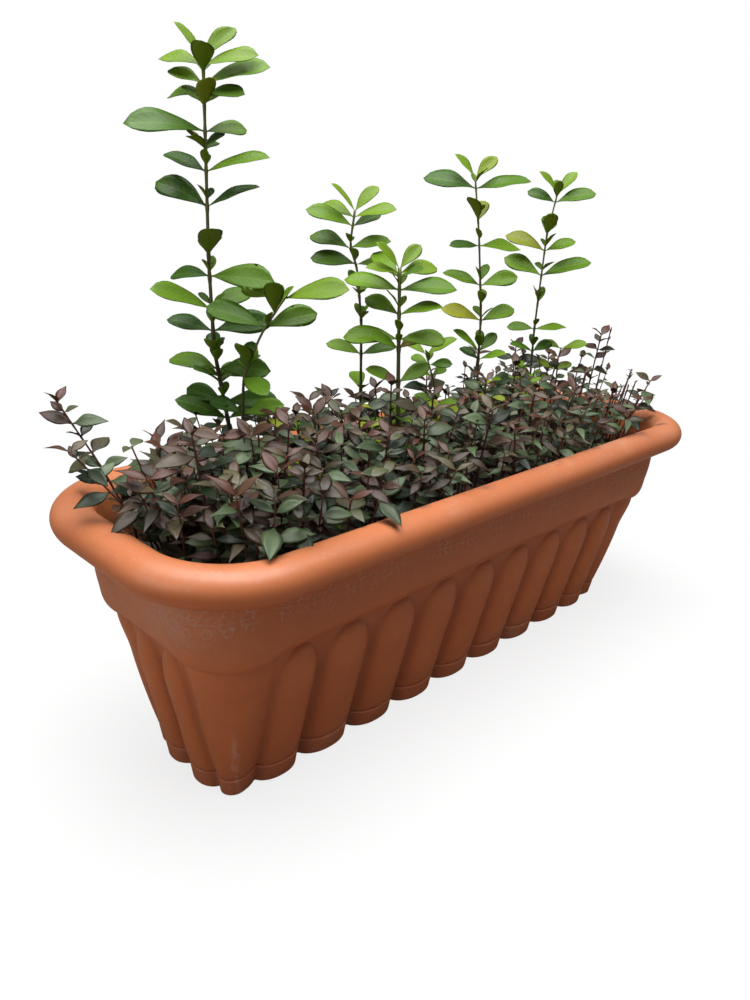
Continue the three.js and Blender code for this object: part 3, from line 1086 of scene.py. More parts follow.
def near_spots(points: Array, spots: Sequence[Row]) -> Array:
    """How much each point lies in soft round spots, given as x, y, z and radius.

    Args:
        points: the points, as rows of x, y and z.
        spots: the spots.

    Returns:
        A mask, one number a point.
    """
    mask = np.zeros(len(points))
    for x, y, z, radius in spots:
        away = np.linalg.norm((points - (x, y, z)) / (1.0, 1.0, 0.8), axis=1)
        mask = np.maximum(mask, 1.0 - smoothstep(away, radius * 0.3, radius))
    return mask


# ---- Box and tray
@dataclass
class PlanterBox:
    """The fluted trough with its rolled rim, in millimetres."""

    plan: BoxPlan
    flutes: Flutes
    foot: tuple[Span, ...] = ((79.0, 3.3), (76.4, 19.2), (76.2, 20.3), (74.6, 20.35),
                              (73.6, 20.7), (73.15, 21.4))
    wall_foot_inset: float = 73.0
    wall_bow: float = 1.45
    tray_top: float = 20.0
    shoulder_z: float = 159.0
    shoulder_inset: float = 45.0
    band_foot_z: float = 218.0
    band_inset: float = 24.5
    band_top_z: float = 233.0
    band_lean: float = 0.8
    undercut: tuple[Span, ...] = ((23.2, 234.2), (22.2, 234.8), (20.3, 235.1), (16.0, 235.05))
    bead_inset: float = 11.8
    bead_z: float = 251.7
    bead_half_depth: float = 19.5
    bead_half_height: float = 16.7
    bead_turn: Span = (-90.0, 165.0)
    inner_wall: tuple[Span, ...] = (
        (31.6, 251.0), (32.6, 245.0), (33.6, 238.0), (34.2, 228.0), (34.6, 214.0), (35.0, 190.0),
        (60.0, 140.0), (90.0, 10.0),
    )
    smudges: tuple[Row, ...] = (
        (251, -118, 268, 20), (150, -117, 268, 12), (60, -116, 268, 20), (-60, -118, 268, 18),
        (-148, -117, 268, 12), (-30, -112, 267, 9), (-323, -104, 266, 10), (322, -116, 268, 14),
        (372, 12, 266, 14), (-200, 113, 266, 16), (120, 112, 266, 13),
    )
    garland_foot: Span = (180.0, 186.0)
    garland_head: Span = (229.0, 233.0)
    inner_shade_span: Span = (214.0, 246.0)
    inner_shade_show: float = 0.9
    lime_foot: float = 20.0
    lime_head: float = 96.0
    lime_fade: float = 26.0
    swags: int = 11
    swag_end: float = 18.0

    def wall_inset(self, z: float) -> float:
        """The inset of the flutes' crowns, which bow outwards from the foot to the shoulder.

        Args:
            z: the height.

        Returns:
            The inset.
        """
        down = max((self.shoulder_z - z) / (self.shoulder_z - self.tray_top), 0.0)
        bow = (self.wall_foot_inset - self.shoulder_inset) * down ** self.wall_bow
        return self.shoulder_inset + bow

    def build(self) -> None:
        """Builds the box and dresses it."""
        loft = RingLoft(self.plan, self.flutes, MeshDraft(BOX_MARKS))
        self._flutes(loft)
        self._shoulder_and_band(loft)
        self._rim(loft)
        loft.finish(banded=self._banded, dust_and_sheen=self._dust_and_rim_sheen, lime=self._lime, smudge_and_shade=self._smudged_and_shaded)
        period = self.plan.perimeter / self.swags
        garland = Garland(period=period, shift=period / 2 - self.swag_end)
        finish = TerracottaFinish("planter_terracotta", relief=garland)
        piece = loft.draft.build("planter_box_fine", [finish.make()])
        stand(piece, Slot.PLANTER, "planter_box")

    def _flutes(self, loft: RingLoft) -> None:
        """Lays the foot inside the tray, and the fluted wall, more finely where the arches are.

        Args:
            loft: where the rings go.
        """
        for inset, z in self.foot:
            loft.ring(inset, z, 0.0)
        plain, arched = np.arange(23.0, 118.0, 4.0), np.arange(119.0, 160.5, 1.2)
        for z in (*plain, *arched):
            loft.ring(self.wall_inset(z), z, z)

    def _shoulder_and_band(self, loft: RingLoft) -> None:
        """Lays the rounded shoulder over the flutes, and the band up to the rim.

        Args:
            loft: where the rings go.
        """
        reach = self.shoulder_inset - self.band_inset
        height = self.band_foot_z - self.shoulder_z
        for angle in np.radians(np.linspace(86.0, 3.0, 26)):
            z = self.band_foot_z - height * math.sin(angle)
            loft.ring(self.shoulder_inset - reach * math.cos(angle), z, z)
        high = self.band_top_z - self.band_foot_z
        for z in np.linspace(self.band_foot_z + 1.5, self.band_top_z, 6):
            loft.ring(self.band_inset - self.band_lean * (z - self.band_foot_z) / high, z)
        for inset, z in self.undercut:
            loft.ring(inset, z)

    def _rim(self, loft: RingLoft) -> None:
        """Lays the rolled bead, and the wall inside it.

        Args:
            loft: where the rings go.
        """
        for angle in np.radians(np.linspace(*self.bead_turn, 40)):
            loft.ring(self.bead_inset - self.bead_half_depth * math.cos(angle),
                      self.bead_z + self.bead_half_height * math.sin(angle))
        for inset, z in self.inner_wall:
            loft.ring(inset, z)

    def _smudged_and_shaded(self, points: Array) -> Array:
        """Smudges on the rim, and painted shade on the wall inside it, darker further down.

        Args:
            points: the points, as rows of x, y and z.

        Returns:
            A mask, one number a point.
        """
        rings = len(points) // self.plan.count
        first = (rings - len(self.inner_wall)) * self.plan.count
        inner = np.arange(len(points)) >= first
        # Painted shade: below the rim the inner wall is darkened, fully from a little above the
        # soil down.
        inner_shade = self.inner_shade_show * inner * falling(points[:, 2], *self.inner_shade_span)
        return np.maximum(near_spots(points, self.smudges), inner_shade)

    def _banded(self, points: Array) -> Array:
        """Where the garland shows: over the band alone."""
        z = points[:, 2]
        return smoothstep(z, *self.garland_foot) * falling(z, *self.garland_head)

    @staticmethod
    def _dust_and_rim_sheen(points: Array) -> Array:
        """Dust on the band, more at the left end, splashes at the foot, and a pale veil on the
        rim's top that is dust and painted highlight.

        Args:
            points: the points, as rows of x, y and z.

        Returns:
            A mask, one number a point.
        """
        x, _, z = points.T
        band = smoothstep(z, 160.0, 196.0) * falling(z, 229.0, 236.0)
        left_end = 0.22 + 0.78 * falling(x, -380.0, -300.0)
        foot = 0.22 * falling(z, 10.0, 60.0)
        # Painted highlight: the rim's top is paled towards the chalk colour, more to the right, as
        # well as dusted.
        top = 0.5 * smoothstep(z, 250.0, 264.0) * (0.55 + 0.45 * smoothstep(x, -200.0, 250.0))
        return 0.8 * band * left_end + foot + top + 0.05

    def _lime(self, points: Array) -> Array:
        """The pale streak down the near corner's lobe, wider at its foot.

        Args:
            points: the points, as rows of x, y and z.

        Returns:
            A mask, one number a point.
        """
        front, u = self.plan.near_corner(points)
        z = points[:, 2]
        wander = 0.52 + 0.02 * np.sin(z / 9.0)
        wide = 0.03 + 0.045 * falling(z, self.lime_foot, self.lime_head)
        streak = np.exp(-(((u - wander) / wide) ** 2))
        return front * streak * falling(z, self.lime_head - self.lime_fade, self.lime_head)


@dataclass
class DripTray:
    """The scalloped tray that the box's foot nests in, in millimetres."""

    plan: BoxPlan
    flutes: Flutes
    outer: tuple[Span, ...] = (
        (79.0, 0.0), (77.2, 0.25), (76.2, 1.0), (75.8, 2.4), (75.2, 6.0), (74.3, 11.0),
        (73.4, 16.0), (73.0, 18.6), (73.1, 19.5), (73.6, 20.0),
    )
    inner: tuple[Span, ...] = ((75.2, 20.0), (75.7, 19.4), (78.7, 3.2), (80.0, 3.0))
    dust_and_sheen: float = 0.45
    lime_show: float = 0.6
    lime_at: float = 0.52
    lime_wide: float = 0.08

    def build(self) -> None:
        """Builds the tray and dresses it."""
        loft = RingLoft(self.plan, self.flutes, MeshDraft(BOX_MARKS))
        for inset, z in (*self.outer, *self.inner):
            loft.ring(inset, z, 0.0)
        loft.finish(dust_and_sheen=lambda points: np.full(len(points), self.dust_and_sheen), lime=self._lime)
        finish = TerracottaFinish("tray_terracotta", dark=(0.42, 0.112, 0.038),
                                  light=(0.5, 0.14, 0.05), roughness=0.44)
        piece = loft.draft.build("drip_tray_fine", [finish.make()])
        stand(piece, Slot.TRAY, "drip_tray")

    def _lime(self, points: Array) -> Array:
        """Lime that ran down over the tray's near corner."""
        front, u = self.plan.near_corner(points)
        return self.lime_show * front * np.exp(-(((u - self.lime_at) / self.lime_wide) ** 2))


# ---- Soil
@dataclass
class PottingSoil:
    """The soil that fills the box, with a crumbly top, in millimetres.

    Args:
        body: the insets and heights of the filling's rings, from the floor up.
        half_width: how far from the middle it has sunk to the wall's height.
    """

    plan: BoxPlan
    body: tuple[Span, ...] = ((90.6, 10.3), (60.6, 140.0), (35.6, 190.0), (35.5, 202.0))
    crust_inset: float = 34.6
    crust_reach: Span = (370.0, 108.0)
    edge_z: float = 203.0
    crown: float = 7.0
    half_width: float = 102.0
    lump: float = 2.2
    pitch: float = 3.5
    shift: float = 0.7
    unevenness: float = 0.5
    crumbs: int = 1100
    seed: int = 7

    def top(self, xy: Array) -> Array:
        """The soil's height at places of the plan.

        Args:
            xy: the places, as rows of x and y.

        Returns:
            The heights.
        """
        x, y = xy.T
        middle = 1.0 - np.clip(np.abs(y) / self.half_width, 0.0, 1.0)
        lumps = np.sin(x / 17.0 + 1.3 * np.sin(y / 23.0)) * np.cos(y / 19.0 + x / 61.0)
        fine = np.sin(x / 3.1 + 2.0 * np.sin(y / 4.7)) * np.sin(y / 3.7 + 1.7 * np.sin(x / 5.9))
        return (self.edge_z + self.crown * np.sin(middle * np.pi / 2) + self.lump * lumps
                + 0.9 * fine)

    def build(self) -> None:
        """Builds the body, its crust and the crumbs on it."""
        draft = MeshDraft()
        rings = []
        for inset, z in self.body:
            xy, _ = self.plan.outline(inset)
            rings.append(np.column_stack([xy, np.full(len(xy), z)]))
        faces = ring_faces(len(rings), self.plan.count, closed_ends=True)
        draft.add(np.concatenate(rings), faces)
        self._crust(draft)
        self._crumbs(draft)
        piece = draft.build("potting_soil_fine", [SoilFinish("potting_soil").make()])
        stand(piece, Slot.SOIL, "potting_soil")

    def _crust(self, draft: MeshDraft) -> None:
        """Lays the lumpy top, as a grid that is drawn in to the box's inner wall.

        Args:
            draft: where the mesh goes.
        """
        xs, ys = (np.arange(-reach, reach + 0.1, self.pitch) for reach in self.crust_reach)
        grid = np.stack(np.meshgrid(xs, ys, indexing="ij"), axis=-1).reshape(-1, 2)
        draw = np.random.default_rng(self.seed)
        strayed = grid + draw.normal(0.0, self.shift, grid.shape)
        xy = self.plan.keep_inside(strayed, self.crust_inset)
        z = self.top(xy) + draw.normal(0.0, self.unevenness, len(xy))
        rows, columns = len(xs), len(ys)
        i = np.arange(rows - 1)[:, None] * columns
        j = np.arange(columns - 1)[None, :]
        quads = np.stack([i + j, i + columns + j, i + columns + j + 1, i + j + 1], axis=-1)
        draft.add(np.column_stack([xy, z]), [quads.reshape(-1, 4)])

    def _crumbs(self, draft: MeshDraft) -> None:
        """Lays loose crumbs of peat and bark on the top, each a squashed icosahedron.

        Args:
            draft: where the mesh goes.
        """
        draw = np.random.default_rng(self.seed + 1)
        gold = (1 + 5 ** 0.5) / 2
        flat = np.array([(-1, gold, 0), (1, gold, 0), (-1, -gold, 0), (1, -gold, 0)])
        base = np.concatenate([np.roll(flat, k, axis=1) for k in range(3)]) / 1.9
        sides = np.array([(0, 11, 5), (0, 5, 1), (0, 1, 7), (0, 7, 10), (0, 10, 11), (1, 5, 9),
                          (5, 11, 4), (11, 10, 2), (10, 7, 6), (7, 1, 8), (3, 9, 4), (3, 4, 2),
                          (3, 2, 6), (3, 6, 8), (3, 8, 9), (4, 9, 5), (2, 4, 11), (6, 2, 10),
                          (8, 6, 7), (9, 8, 1)])
        for _ in range(self.crumbs):
            spot = draw.uniform((-360.0, -99.0), (360.0, 99.0))[None, :]
            spot = self.plan.keep_inside(spot, 38.0)
            size = draw.uniform(0.8, 2.6) * draw.uniform(0.6, 1.5, 3)
            crumb = base * size * draw.uniform(0.8, 1.2, (12, 1))
            turn = draw.uniform(0.0, math.tau)
            spin = np.array([[math.cos(turn), -math.sin(turn)], [math.sin(turn), math.cos(turn)]])
            crumb[:, :2] = crumb[:, :2] @ spin
            draft.add(crumb + (*spot[0], float(self.top(spot)[0]) + 0.6), [sides])


# ---- Leaves and stems
@dataclass(frozen=True)
class LeafForm:
    """A leaf blade, with its sizes as shares of its length.

    Args:
        fold: how steeply its halves rise from the midrib.
        cad_stations: where the node's blade has its corners: the place along it and the width.
        outline: the place along it and the width there, as a share of the full width.
    """

    width: float
    arch: float
    fold: float
    thickness: float
    cad_stations: tuple[Span, ...]
    outline: tuple[Span, ...]
    wave: float = 0.07
    ripples: float = 9.0
    twist: float = 0.22
    sway: float = 0.05
    stations: int = 13
    across: int = 7


# The light comes from the photographed side, and each blade rolls its face towards it.
LIGHT = np.array([math.cos(math.radians(228.0)), math.sin(math.radians(228.0)), 0.0])
LIGHT_ROLL = 40.0
GREEN_OUTLINE = ((0.0, 0.05), (0.07, 0.09), (0.18, 0.31), (0.32, 0.62), (0.46, 0.88), (0.6, 1.0),
                 (0.73, 0.99), (0.85, 0.8), (0.93, 0.54), (0.98, 0.26), (1.0, 0.0))
DARK_OUTLINE = ((0.0, 0.07), (0.1, 0.14), (0.22, 0.6), (0.36, 0.94), (0.48, 1.0), (0.64, 0.88),
                (0.8, 0.56), (0.92, 0.22), (1.0, 0.0))
LONG_OUTLINE = ((0.0, 0.07), (0.1, 0.2), (0.22, 0.66), (0.36, 0.96), (0.46, 1.0), (0.6, 0.82),
                (0.74, 0.48), (0.86, 0.22), (0.94, 0.1), (1.0, 0.0))
GREEN_LEAF = LeafForm(0.46, 0.16, 0.22, 0.7, ((0.3, 0.62), (0.6, 1.0), (0.84, 0.66)), GREEN_OUTLINE)
SMALL_GREEN_LEAF = LeafForm(0.46, 0.12, 0.25, 0.6, ((0.38, 0.85), (0.7, 0.95)), GREEN_OUTLINE)
BROAD_DARK_LEAF = LeafForm(0.47, 0.14, 0.22, 0.5, ((0.36, 0.9), (0.7, 0.85)), DARK_OUTLINE,
                           stations=9, across=5)
LONG_DARK_LEAF = LeafForm(0.36, 0.22, 0.25, 0.5, ((0.36, 0.9), (0.7, 0.85)), LONG_OUTLINE,
                          stations=10, across=5)
DARK_LEAF = LeafForm(0.42, 0.14, 0.22, 0.5, ((0.36, 0.9), (0.7, 0.85)), DARK_OUTLINE, stations=9,
                     across=5)
LEAF_MARKS = ("along", "across", "lower", "tint", "warmth", "youth")


@dataclass(frozen=True)
class LeafPair:
    """Two opposite leaves: where on the stem, which way, and how long each is."""

    height: float
    azimuth: float
    rise: float
    length: float
    opposite: float
    youth: float = 0.0


@dataclass(frozen=True)
class Plant:
    """A stem in the soil, its bends as (height, dx, dy), and its pairs of leaves."""

    foot: tuple[float, float]
    radius: float
    bends: Bends
    pairs: tuple[LeafPair, ...]

    def centre(self, heights: Array) -> Array:
        """The stem's centre at heights above the soil's level.

        Args:
            heights: the heights.

        Returns:
            The places, one row a height.
        """
        known = np.array([(0.0, 0.0, 0.0), *self.bends])
        x = self.foot[0] + np.interp(heights, known[:, 0], known[:, 1])
        y = self.foot[1] + np.interp(heights, known[:, 0], known[:, 2])
        return np.stack([x, y, SOIL_LEVEL + np.asarray(heights, float)], axis=-1)

    def turned(self, step: float, attempt: int) -> "Plant":
        """The plant with its leaves turned clear of its neighbours, as the part's source does.

        Args:
            step: how many degrees a turn adds.
            attempt: how many turns it took.

        Returns:
            The turned plant.
        """
        degrees = (-1 if attempt % 2 else 1) * math.ceil(attempt / 2) * step
        shrink = 1.0 - 0.008 * attempt
        return replace(self, pairs=tuple(
            replace(pair, azimuth=pair.azimuth + degrees * (-1 if i % 2 else 1),
                    length=pair.length * shrink, opposite=pair.opposite * shrink)
            for i, pair in enumerate(self.pairs)))

    def with_pairs(self, extra: Sequence[LeafPair]) -> "Plant":
        """The plant with more pairs of leaves."""
        return replace(self, pairs=(*self.pairs, *extra))

    def leaf_rows(self) -> Array:
        """Lists the leaves.

        Returns:
            One row a leaf: root x, y, z, azimuth, rise, length, youth.
        """
        rows = []
        for pair in self.pairs:
            root = self.centre(np.array([pair.height]))[0]
            rows.append((*root, pair.azimuth, pair.rise, pair.length, pair.youth))
            rows.append((*root, pair.azimuth + 180.0, pair.rise, pair.opposite, pair.youth))
        return np.array(rows)

    def reach(self, form_of: Callable[[float], LeafForm]) -> Array:
        """The lowest and highest corner of the plant's leaves, as the part's solids have them.

        Args:
            form_of: the leaf form for a length.

        Returns:
            The two corners.
        """
        spots = []
        for row in self.leaf_rows():
            root, (azimuth, rise, length) = row[:3], row[3:6]
            form = form_of(length)
            along, side, up = leaf_frame(np.radians([azimuth]), np.radians([rise]))
            for t, share in (*form.cad_stations, (1.0, 0.0)):
                half = 0.5 * form.width * length * share
                middle = root + along[0] * length * t - up[0] * form.arch * length * t * t
                spots += [middle + side[0] * half * s + up[0] * form.fold * half for s in (-1, 1)]
        return np.stack([np.min(spots, axis=0), np.max(spots, axis=0)])

    def as_in(self, node: str, form_of: Callable[[float], LeafForm], step: float,
              tries: int) -> "Plant":
        """The turned plant whose leaves reach as far as a node's.

        Args:
            node: the CAD node.
            form_of: the leaf form for a length.
            step: how many degrees each turn adds.
            tries: how many turns there may be.

        Returns:
            The plant that fits the node best.
        """
        low, high = (np.array(corner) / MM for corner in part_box(node))

        def miss(plant: Plant) -> float:
            """How far a plant's reach is from the node's box."""
            box = plant.reach(form_of)
            return float(np.abs(box[0][:2] - low[:2]).sum() + np.abs(box[1] - high).sum())

        return min((self.turned(step, attempt) for attempt in range(tries)), key=miss)


def leaf_frame(azimuth: Array, rise: Array) -> tuple[Array, Array, Array]:
    """The directions along, across and up from leaves, which roll their faces to the light.

    Args:
        azimuth: the leaves' directions in plan, in radians.
        rise: how steeply they rise, in radians.

    Returns:
        Three arrays of unit directions, one row a leaf.
    """
    along = np.stack([np.cos(azimuth) * np.cos(rise), np.sin(azimuth) * np.cos(rise),
                      np.sin(rise)], axis=-1)
    side = np.stack([-np.sin(azimuth), np.cos(azimuth), np.zeros_like(azimuth)], axis=-1)
    up = np.cross(along, side)
    roll = np.radians(LIGHT_ROLL * (side @ LIGHT))[..., None]
    return (along, side * np.cos(roll) - up * np.sin(roll),
            up * np.cos(roll) + side * np.sin(roll))


def leaning(height: float, lean_x: float, lean_y: float, foot: float, share: float) -> Bends:
    """The bends of a stem that stands straight at its foot and leans over at its top.

    Args:
        height: its height.
        lean_x: how far its top leans along x.
        lean_y: how far it leans along y.
        foot: the height up to which it is straight.
        share: how much of the lean it has at 0.6 of its height.

    Returns:
        The bends.
    """
    return ((foot, 0, 0), (height * 0.6, lean_x * share, lean_y * share), (height, lean_x, lean_y))


@dataclass
class Foliage:
    """Lays leaves and stems of a kind in a draft, leaves with finish 0 and stems with finish 1.

    Args:
        warm_share: the share of leaves that turn to the warm colour.
        tints: the darkest and the lightest leaf, from 0 to 1.
    """

    draw: Draw
    warm_share: float = 0.1
    tints: Span = (0.0, 1.0)
    droop: float = 0.0
    draft: MeshDraft = field(default_factory=lambda: MeshDraft(LEAF_MARKS))
    root: float = 18.0
    ring_pitch: float = 5.0
    knot: float = 3.0
    taper: float = 0.45

    def leaves(self, form: LeafForm, rows: Array) -> None:
        """Lays leaves.

        Args:
            form: their form.
            rows: one row a leaf, as Plant.leaf_rows gives them.
        """
        if not len(rows):
            return
        count = len(rows)
        root, length, youth = rows[:, :3], rows[:, 5], rows[:, 6]
        along, side, up = leaf_frame(np.radians(rows[:, 3]), np.radians(rows[:, 4]))
        t = np.linspace(0.0, 1.0, form.stations)
        share = np.interp(t, *np.array(form.outline).T)
        v = np.concatenate([np.linspace(1, -1, form.across), np.linspace(-1, 1, form.across)[1:-1]])
        lower = np.concatenate([np.zeros(form.across), np.ones(form.across - 2)])
        tint = self.draw.uniform(*self.tints, count)
        turning = self.draw.uniform(0, 1, count) < self.warm_share
        warmth = turning * self.draw.uniform(0.4, 1, count)
        twist = self.draw.normal(0.0, form.twist, count)[:, None] * t
        bend = form.arch + self.draw.uniform(0.0, 1.0, count) * self.droop
        sway = self.draw.normal(0.0, form.sway, count)
        phase = self.draw.uniform(0, math.tau, count)[:, None, None]

        centre = (root[:, None] + along[:, None] * (length[:, None] * t)[..., None]
                  - up[:, None] * ((bend * length)[:, None] * t * t)[..., None]
                  + side[:, None] * ((sway * length)[:, None] * t * t)[..., None])
        turned_side = (side[:, None] * np.cos(twist)[..., None]
                       + up[:, None] * np.sin(twist)[..., None])
        turned_up = (up[:, None] * np.cos(twist)[..., None]
                     - side[:, None] * np.sin(twist)[..., None])
        half = np.maximum(0.5 * form.width * length[:, None] * share, 0.12)[..., None]
        across = half * v
        wave = np.sin(form.ripples * t[None, :, None] + phase + 1.5 * np.sign(v))
        ripple = form.wave * half * wave * v * v
        thick = form.thickness * np.minimum(1.0, share * 4 + 0.25)[None, :, None]
        lift = (form.fold * half * np.abs(v) ** 1.5 + ripple
                + thick * (0.5 - lower) * (1.0 - 0.8 * v * v))
        points = (centre[:, :, None] + turned_side[:, :, None] * across[..., None]
                  + turned_up[:, :, None] * lift[..., None])

        ring = len(v)
        shape = (count, form.stations, ring)
        leaf = ring_faces(form.stations, ring, closed_ends=True)
        first = (np.arange(count) * form.stations * ring)[:, None, None]
        faces = [(block[None] + first).reshape(-1, block.shape[1]) for block in leaf]
        spread = {"tint": tint, "warmth": warmth, "youth": youth}
        self.draft.add(
            points.reshape(-1, 3), faces, 0,
            along=np.broadcast_to(t[None, :, None], shape),
            across=np.broadcast_to(v, shape), lower=np.broadcast_to(lower, shape),
            **{name: np.broadcast_to(value[:, None, None], shape)
               for name, value in spread.items()})

    def stem(self, plant: Plant, sides: int, swell: float = 0.35) -> None:
        """Lays a plant's stem, a little thicker where its leaves stand.

        Args:
            plant: the plant.
            sides: how many sides the stem has.
            swell: how much thicker it is at its knots.
        """
        top = plant.bends[-1][0]
        count = max(int((top + self.root) / self.ring_pitch), 6)
        heights = np.linspace(-self.root, top, count)
        centres = plant.centre(np.maximum(heights, 0.0))
        centres[:, 2] = SOIL_LEVEL + heights
        for _ in range(3):
            centres[1:-1, :2] = (centres[:-2, :2] + 2 * centres[1:-1, :2] + centres[2:, :2]) / 4
        knots = np.array([pair.height for pair in plant.pairs] or [1e9])
        near = np.exp(-((heights[:, None] - knots) / self.knot) ** 2).max(axis=1)
        taper = 1.0 - self.taper * np.clip(heights / top, 0.0, 1.0)
        radii = plant.radius * taper * (1.0 + swell * near)
        self.tube(centres, radii, sides, np.clip(heights / top, 0, 1) ** 3)

    def tube(self, centres: Array, radii: Array, sides: int, youth: Array) -> None:
        """Lays a tube of level rings through centres.

        Args:
            centres: the rings' centres.
            radii: the rings' radii.
            sides: how many sides the tube has.
            youth: how young each ring is, from 0 to 1.
        """
        angle = np.arange(sides) / sides * math.tau
        circle = np.stack([np.cos(angle), np.sin(angle), np.zeros(sides)], axis=-1)
        points = centres[:, None] + circle[None] * radii[:, None, None]
        self.draft.add(points.reshape(-1, 3), ring_faces(len(centres), sides, closed_ends=True), 1,
                       youth=np.repeat(youth, sides))

    def sprig(self, plant: Plant, form: LeafForm, swell: float = 0.35) -> None:
        """Lays a low plant, with leaves of one form and a six-sided stem."""
        self.leaves(form, plant.leaf_rows())
        self.stem(plant, 6, swell)

    def finish(self, name: str, materials: Finishes, slot: Slot, *nodes: str) -> None:
        """Makes one piece of what was laid, and hides the nodes it stands for."""
        stand(self.draft.build(name, materials), slot, *nodes)


# ---- Green shoots
@dataclass(frozen=True)
class Shoot:
    """A green shoot as it is planted, its leaf pairs as rows (see LeafPair)."""

    foot: tuple[float, float]
    radius: float
    bends: Bends
    pairs: tuple[Row, ...]
    young_pairs: int = 2
    tints: Span = (0.1, 0.9)

    def plant(self) -> Plant:
        """The shoot as a plant, its top pairs young.

        Returns:
            The plant.
        """
        last = len(self.pairs) - self.young_pairs
        pairs = tuple(LeafPair(*row, youth=0.75 if i >= last else 0.0)
                      for i, row in enumerate(self.pairs))
        return Plant(self.foot, self.radius, self.bends, pairs)


GREEN_SHOOTS = {
    "tall_left": Shoot(
        (-208, 73), 2.2, ((30, 0, 0), (100, -8, 9), (170, -17, 17), (250, -19, 20), (415, -20, 20)),
        ((60, 40, 30, 42, 40), (103, 150, 30, 52, 50), (120, 300, 16, 54, 44),
         (138, 205, 38, 46, 34), (152, 120, 14, 54, 52), (167, 235, 40, 40, 32),
         (188, 320, 20, 56, 44), (208, 175, 28, 60, 46), (238, 295, 8, 62, 44),
         (256, 240, 42, 48, 30), (298, 120, 30, 55, 50), (327, 118, 22, 48, 58),
         (345, 210, 25, 30, 26), (359, 165, 12, 66, 40), (378, 240, 40, 36, 30),
         (388, 104, 8, 45, 40), (396, 300, 22, 58, 36), (404, 235, 35, 42, 34),
         (410, 118, 16, 46, 48), (414, 160, 54, 34, 38)),
        tints=(0.0, 0.7)),
    "leaning_left": Shoot(
        (-219, 57), 1.9, ((30, 0, 0), (150, 2, -2), (192, 14, -14), (228, 30, -31)),
        ((70, 100, 25, 36, 34), (114, 300, 25, 42, 36), (150, 260, 0, 45, 30),
         (160, 220, 50, 40, 30), (197, 145, 25, 55, 50), (210, 228, 58, 40, 32),
         (224, 292, 20, 62, 46)),
        young_pairs=1, tints=(0.0, 0.6)),
    "centre_left": Shoot(
        (-36, 76), 1.9, ((30, 0, 0), (186, -4, 4), (246, -9, 10), (262, -15, 16), (300, -12, 13)),
        ((110, 60, 30, 40, 38), (150, 130, 25, 40, 40), (188, 230, 40, 25, 24),
         (214, 40, 28, 38, 34), (246, 135, 12, 50, 30), (262, 115, 22, 48, 44),
         (284, 150, 28, 50, 34), (293, 108, 22, 45, 46), (299, 155, 52, 36, 36)),
        tints=(0.3, 1.0)),
    "centre": Shoot(
        (-33, 13), 2.8, ((30, 0, 0), (108, -6, 6), (192, -9, 9), (248, -11, 11)),
        ((90, 50, 25, 40, 38), (130, 150, 30, 38, 40), (166, 165, 32, 38, 30),
         (176, 135, 8, 58, 50), (201, 115, 28, 42, 46), (226, 130, 15, 58, 58),
         (238, 95, 33, 48, 30), (243, 340, 16, 45, 36), (247, 160, 50, 36, 34)),
        tints=(0.3, 1.0)),
    "right_of_centre": Shoot(
        (152, 44), 1.8, ((30, 0, 0), (112, -8, 9), (185, -10, 11), (278, -19, 19), (340, -26, 27)),
        ((80, 60, 28, 38, 36), (130, 275, 28, 38, 32), (140, 155, 45, 42, 34),
         (178, 148, 25, 52, 48), (198, 210, 52, 26, 24), (220, 130, 24, 48, 46),
         (266, 155, 3, 38, 62), (294, 200, 48, 40, 34), (329, 130, 18, 62, 64),
         (339, 150, 54, 36, 36)),
        young_pairs=1),
    "right": Shoot(
        (262, 48), 1.7, ((30, 0, 0), (160, -3, 4), (281, -3, 3), (330, 2, -2)),
        ((90, 70, 28, 36, 34), (130, 160, 25, 36, 34), (160, 130, 8, 36, 44),
         (194, 185, 68, 26, 24), (229, 124, 28, 54, 64), (260, 122, 28, 54, 40),
         (279, 220, 58, 38, 32), (319, 122, 26, 38, 50), (329, 140, 55, 36, 36)),
        young_pairs=1),
    "small_right": Shoot(
        (292, 30), 1.4, ((30, 0, 0), (91, -3, 4), (136, 2, -2)),
        ((70, 40, 28, 28, 26), (105, 130, 30, 28, 26), (134, 115, 24, 28, 36))),
    "small_centre": Shoot(
        (66, 46), 1.6, ((30, 0, 0), (109, -6, 6), (146, -15, 16)),
        ((84, 110, 25, 30, 28), (119, 180, 22, 36, 28), (132, 100, 18, 28, 30),
         (144, 130, 38, 32, 40)),
        young_pairs=1),
}


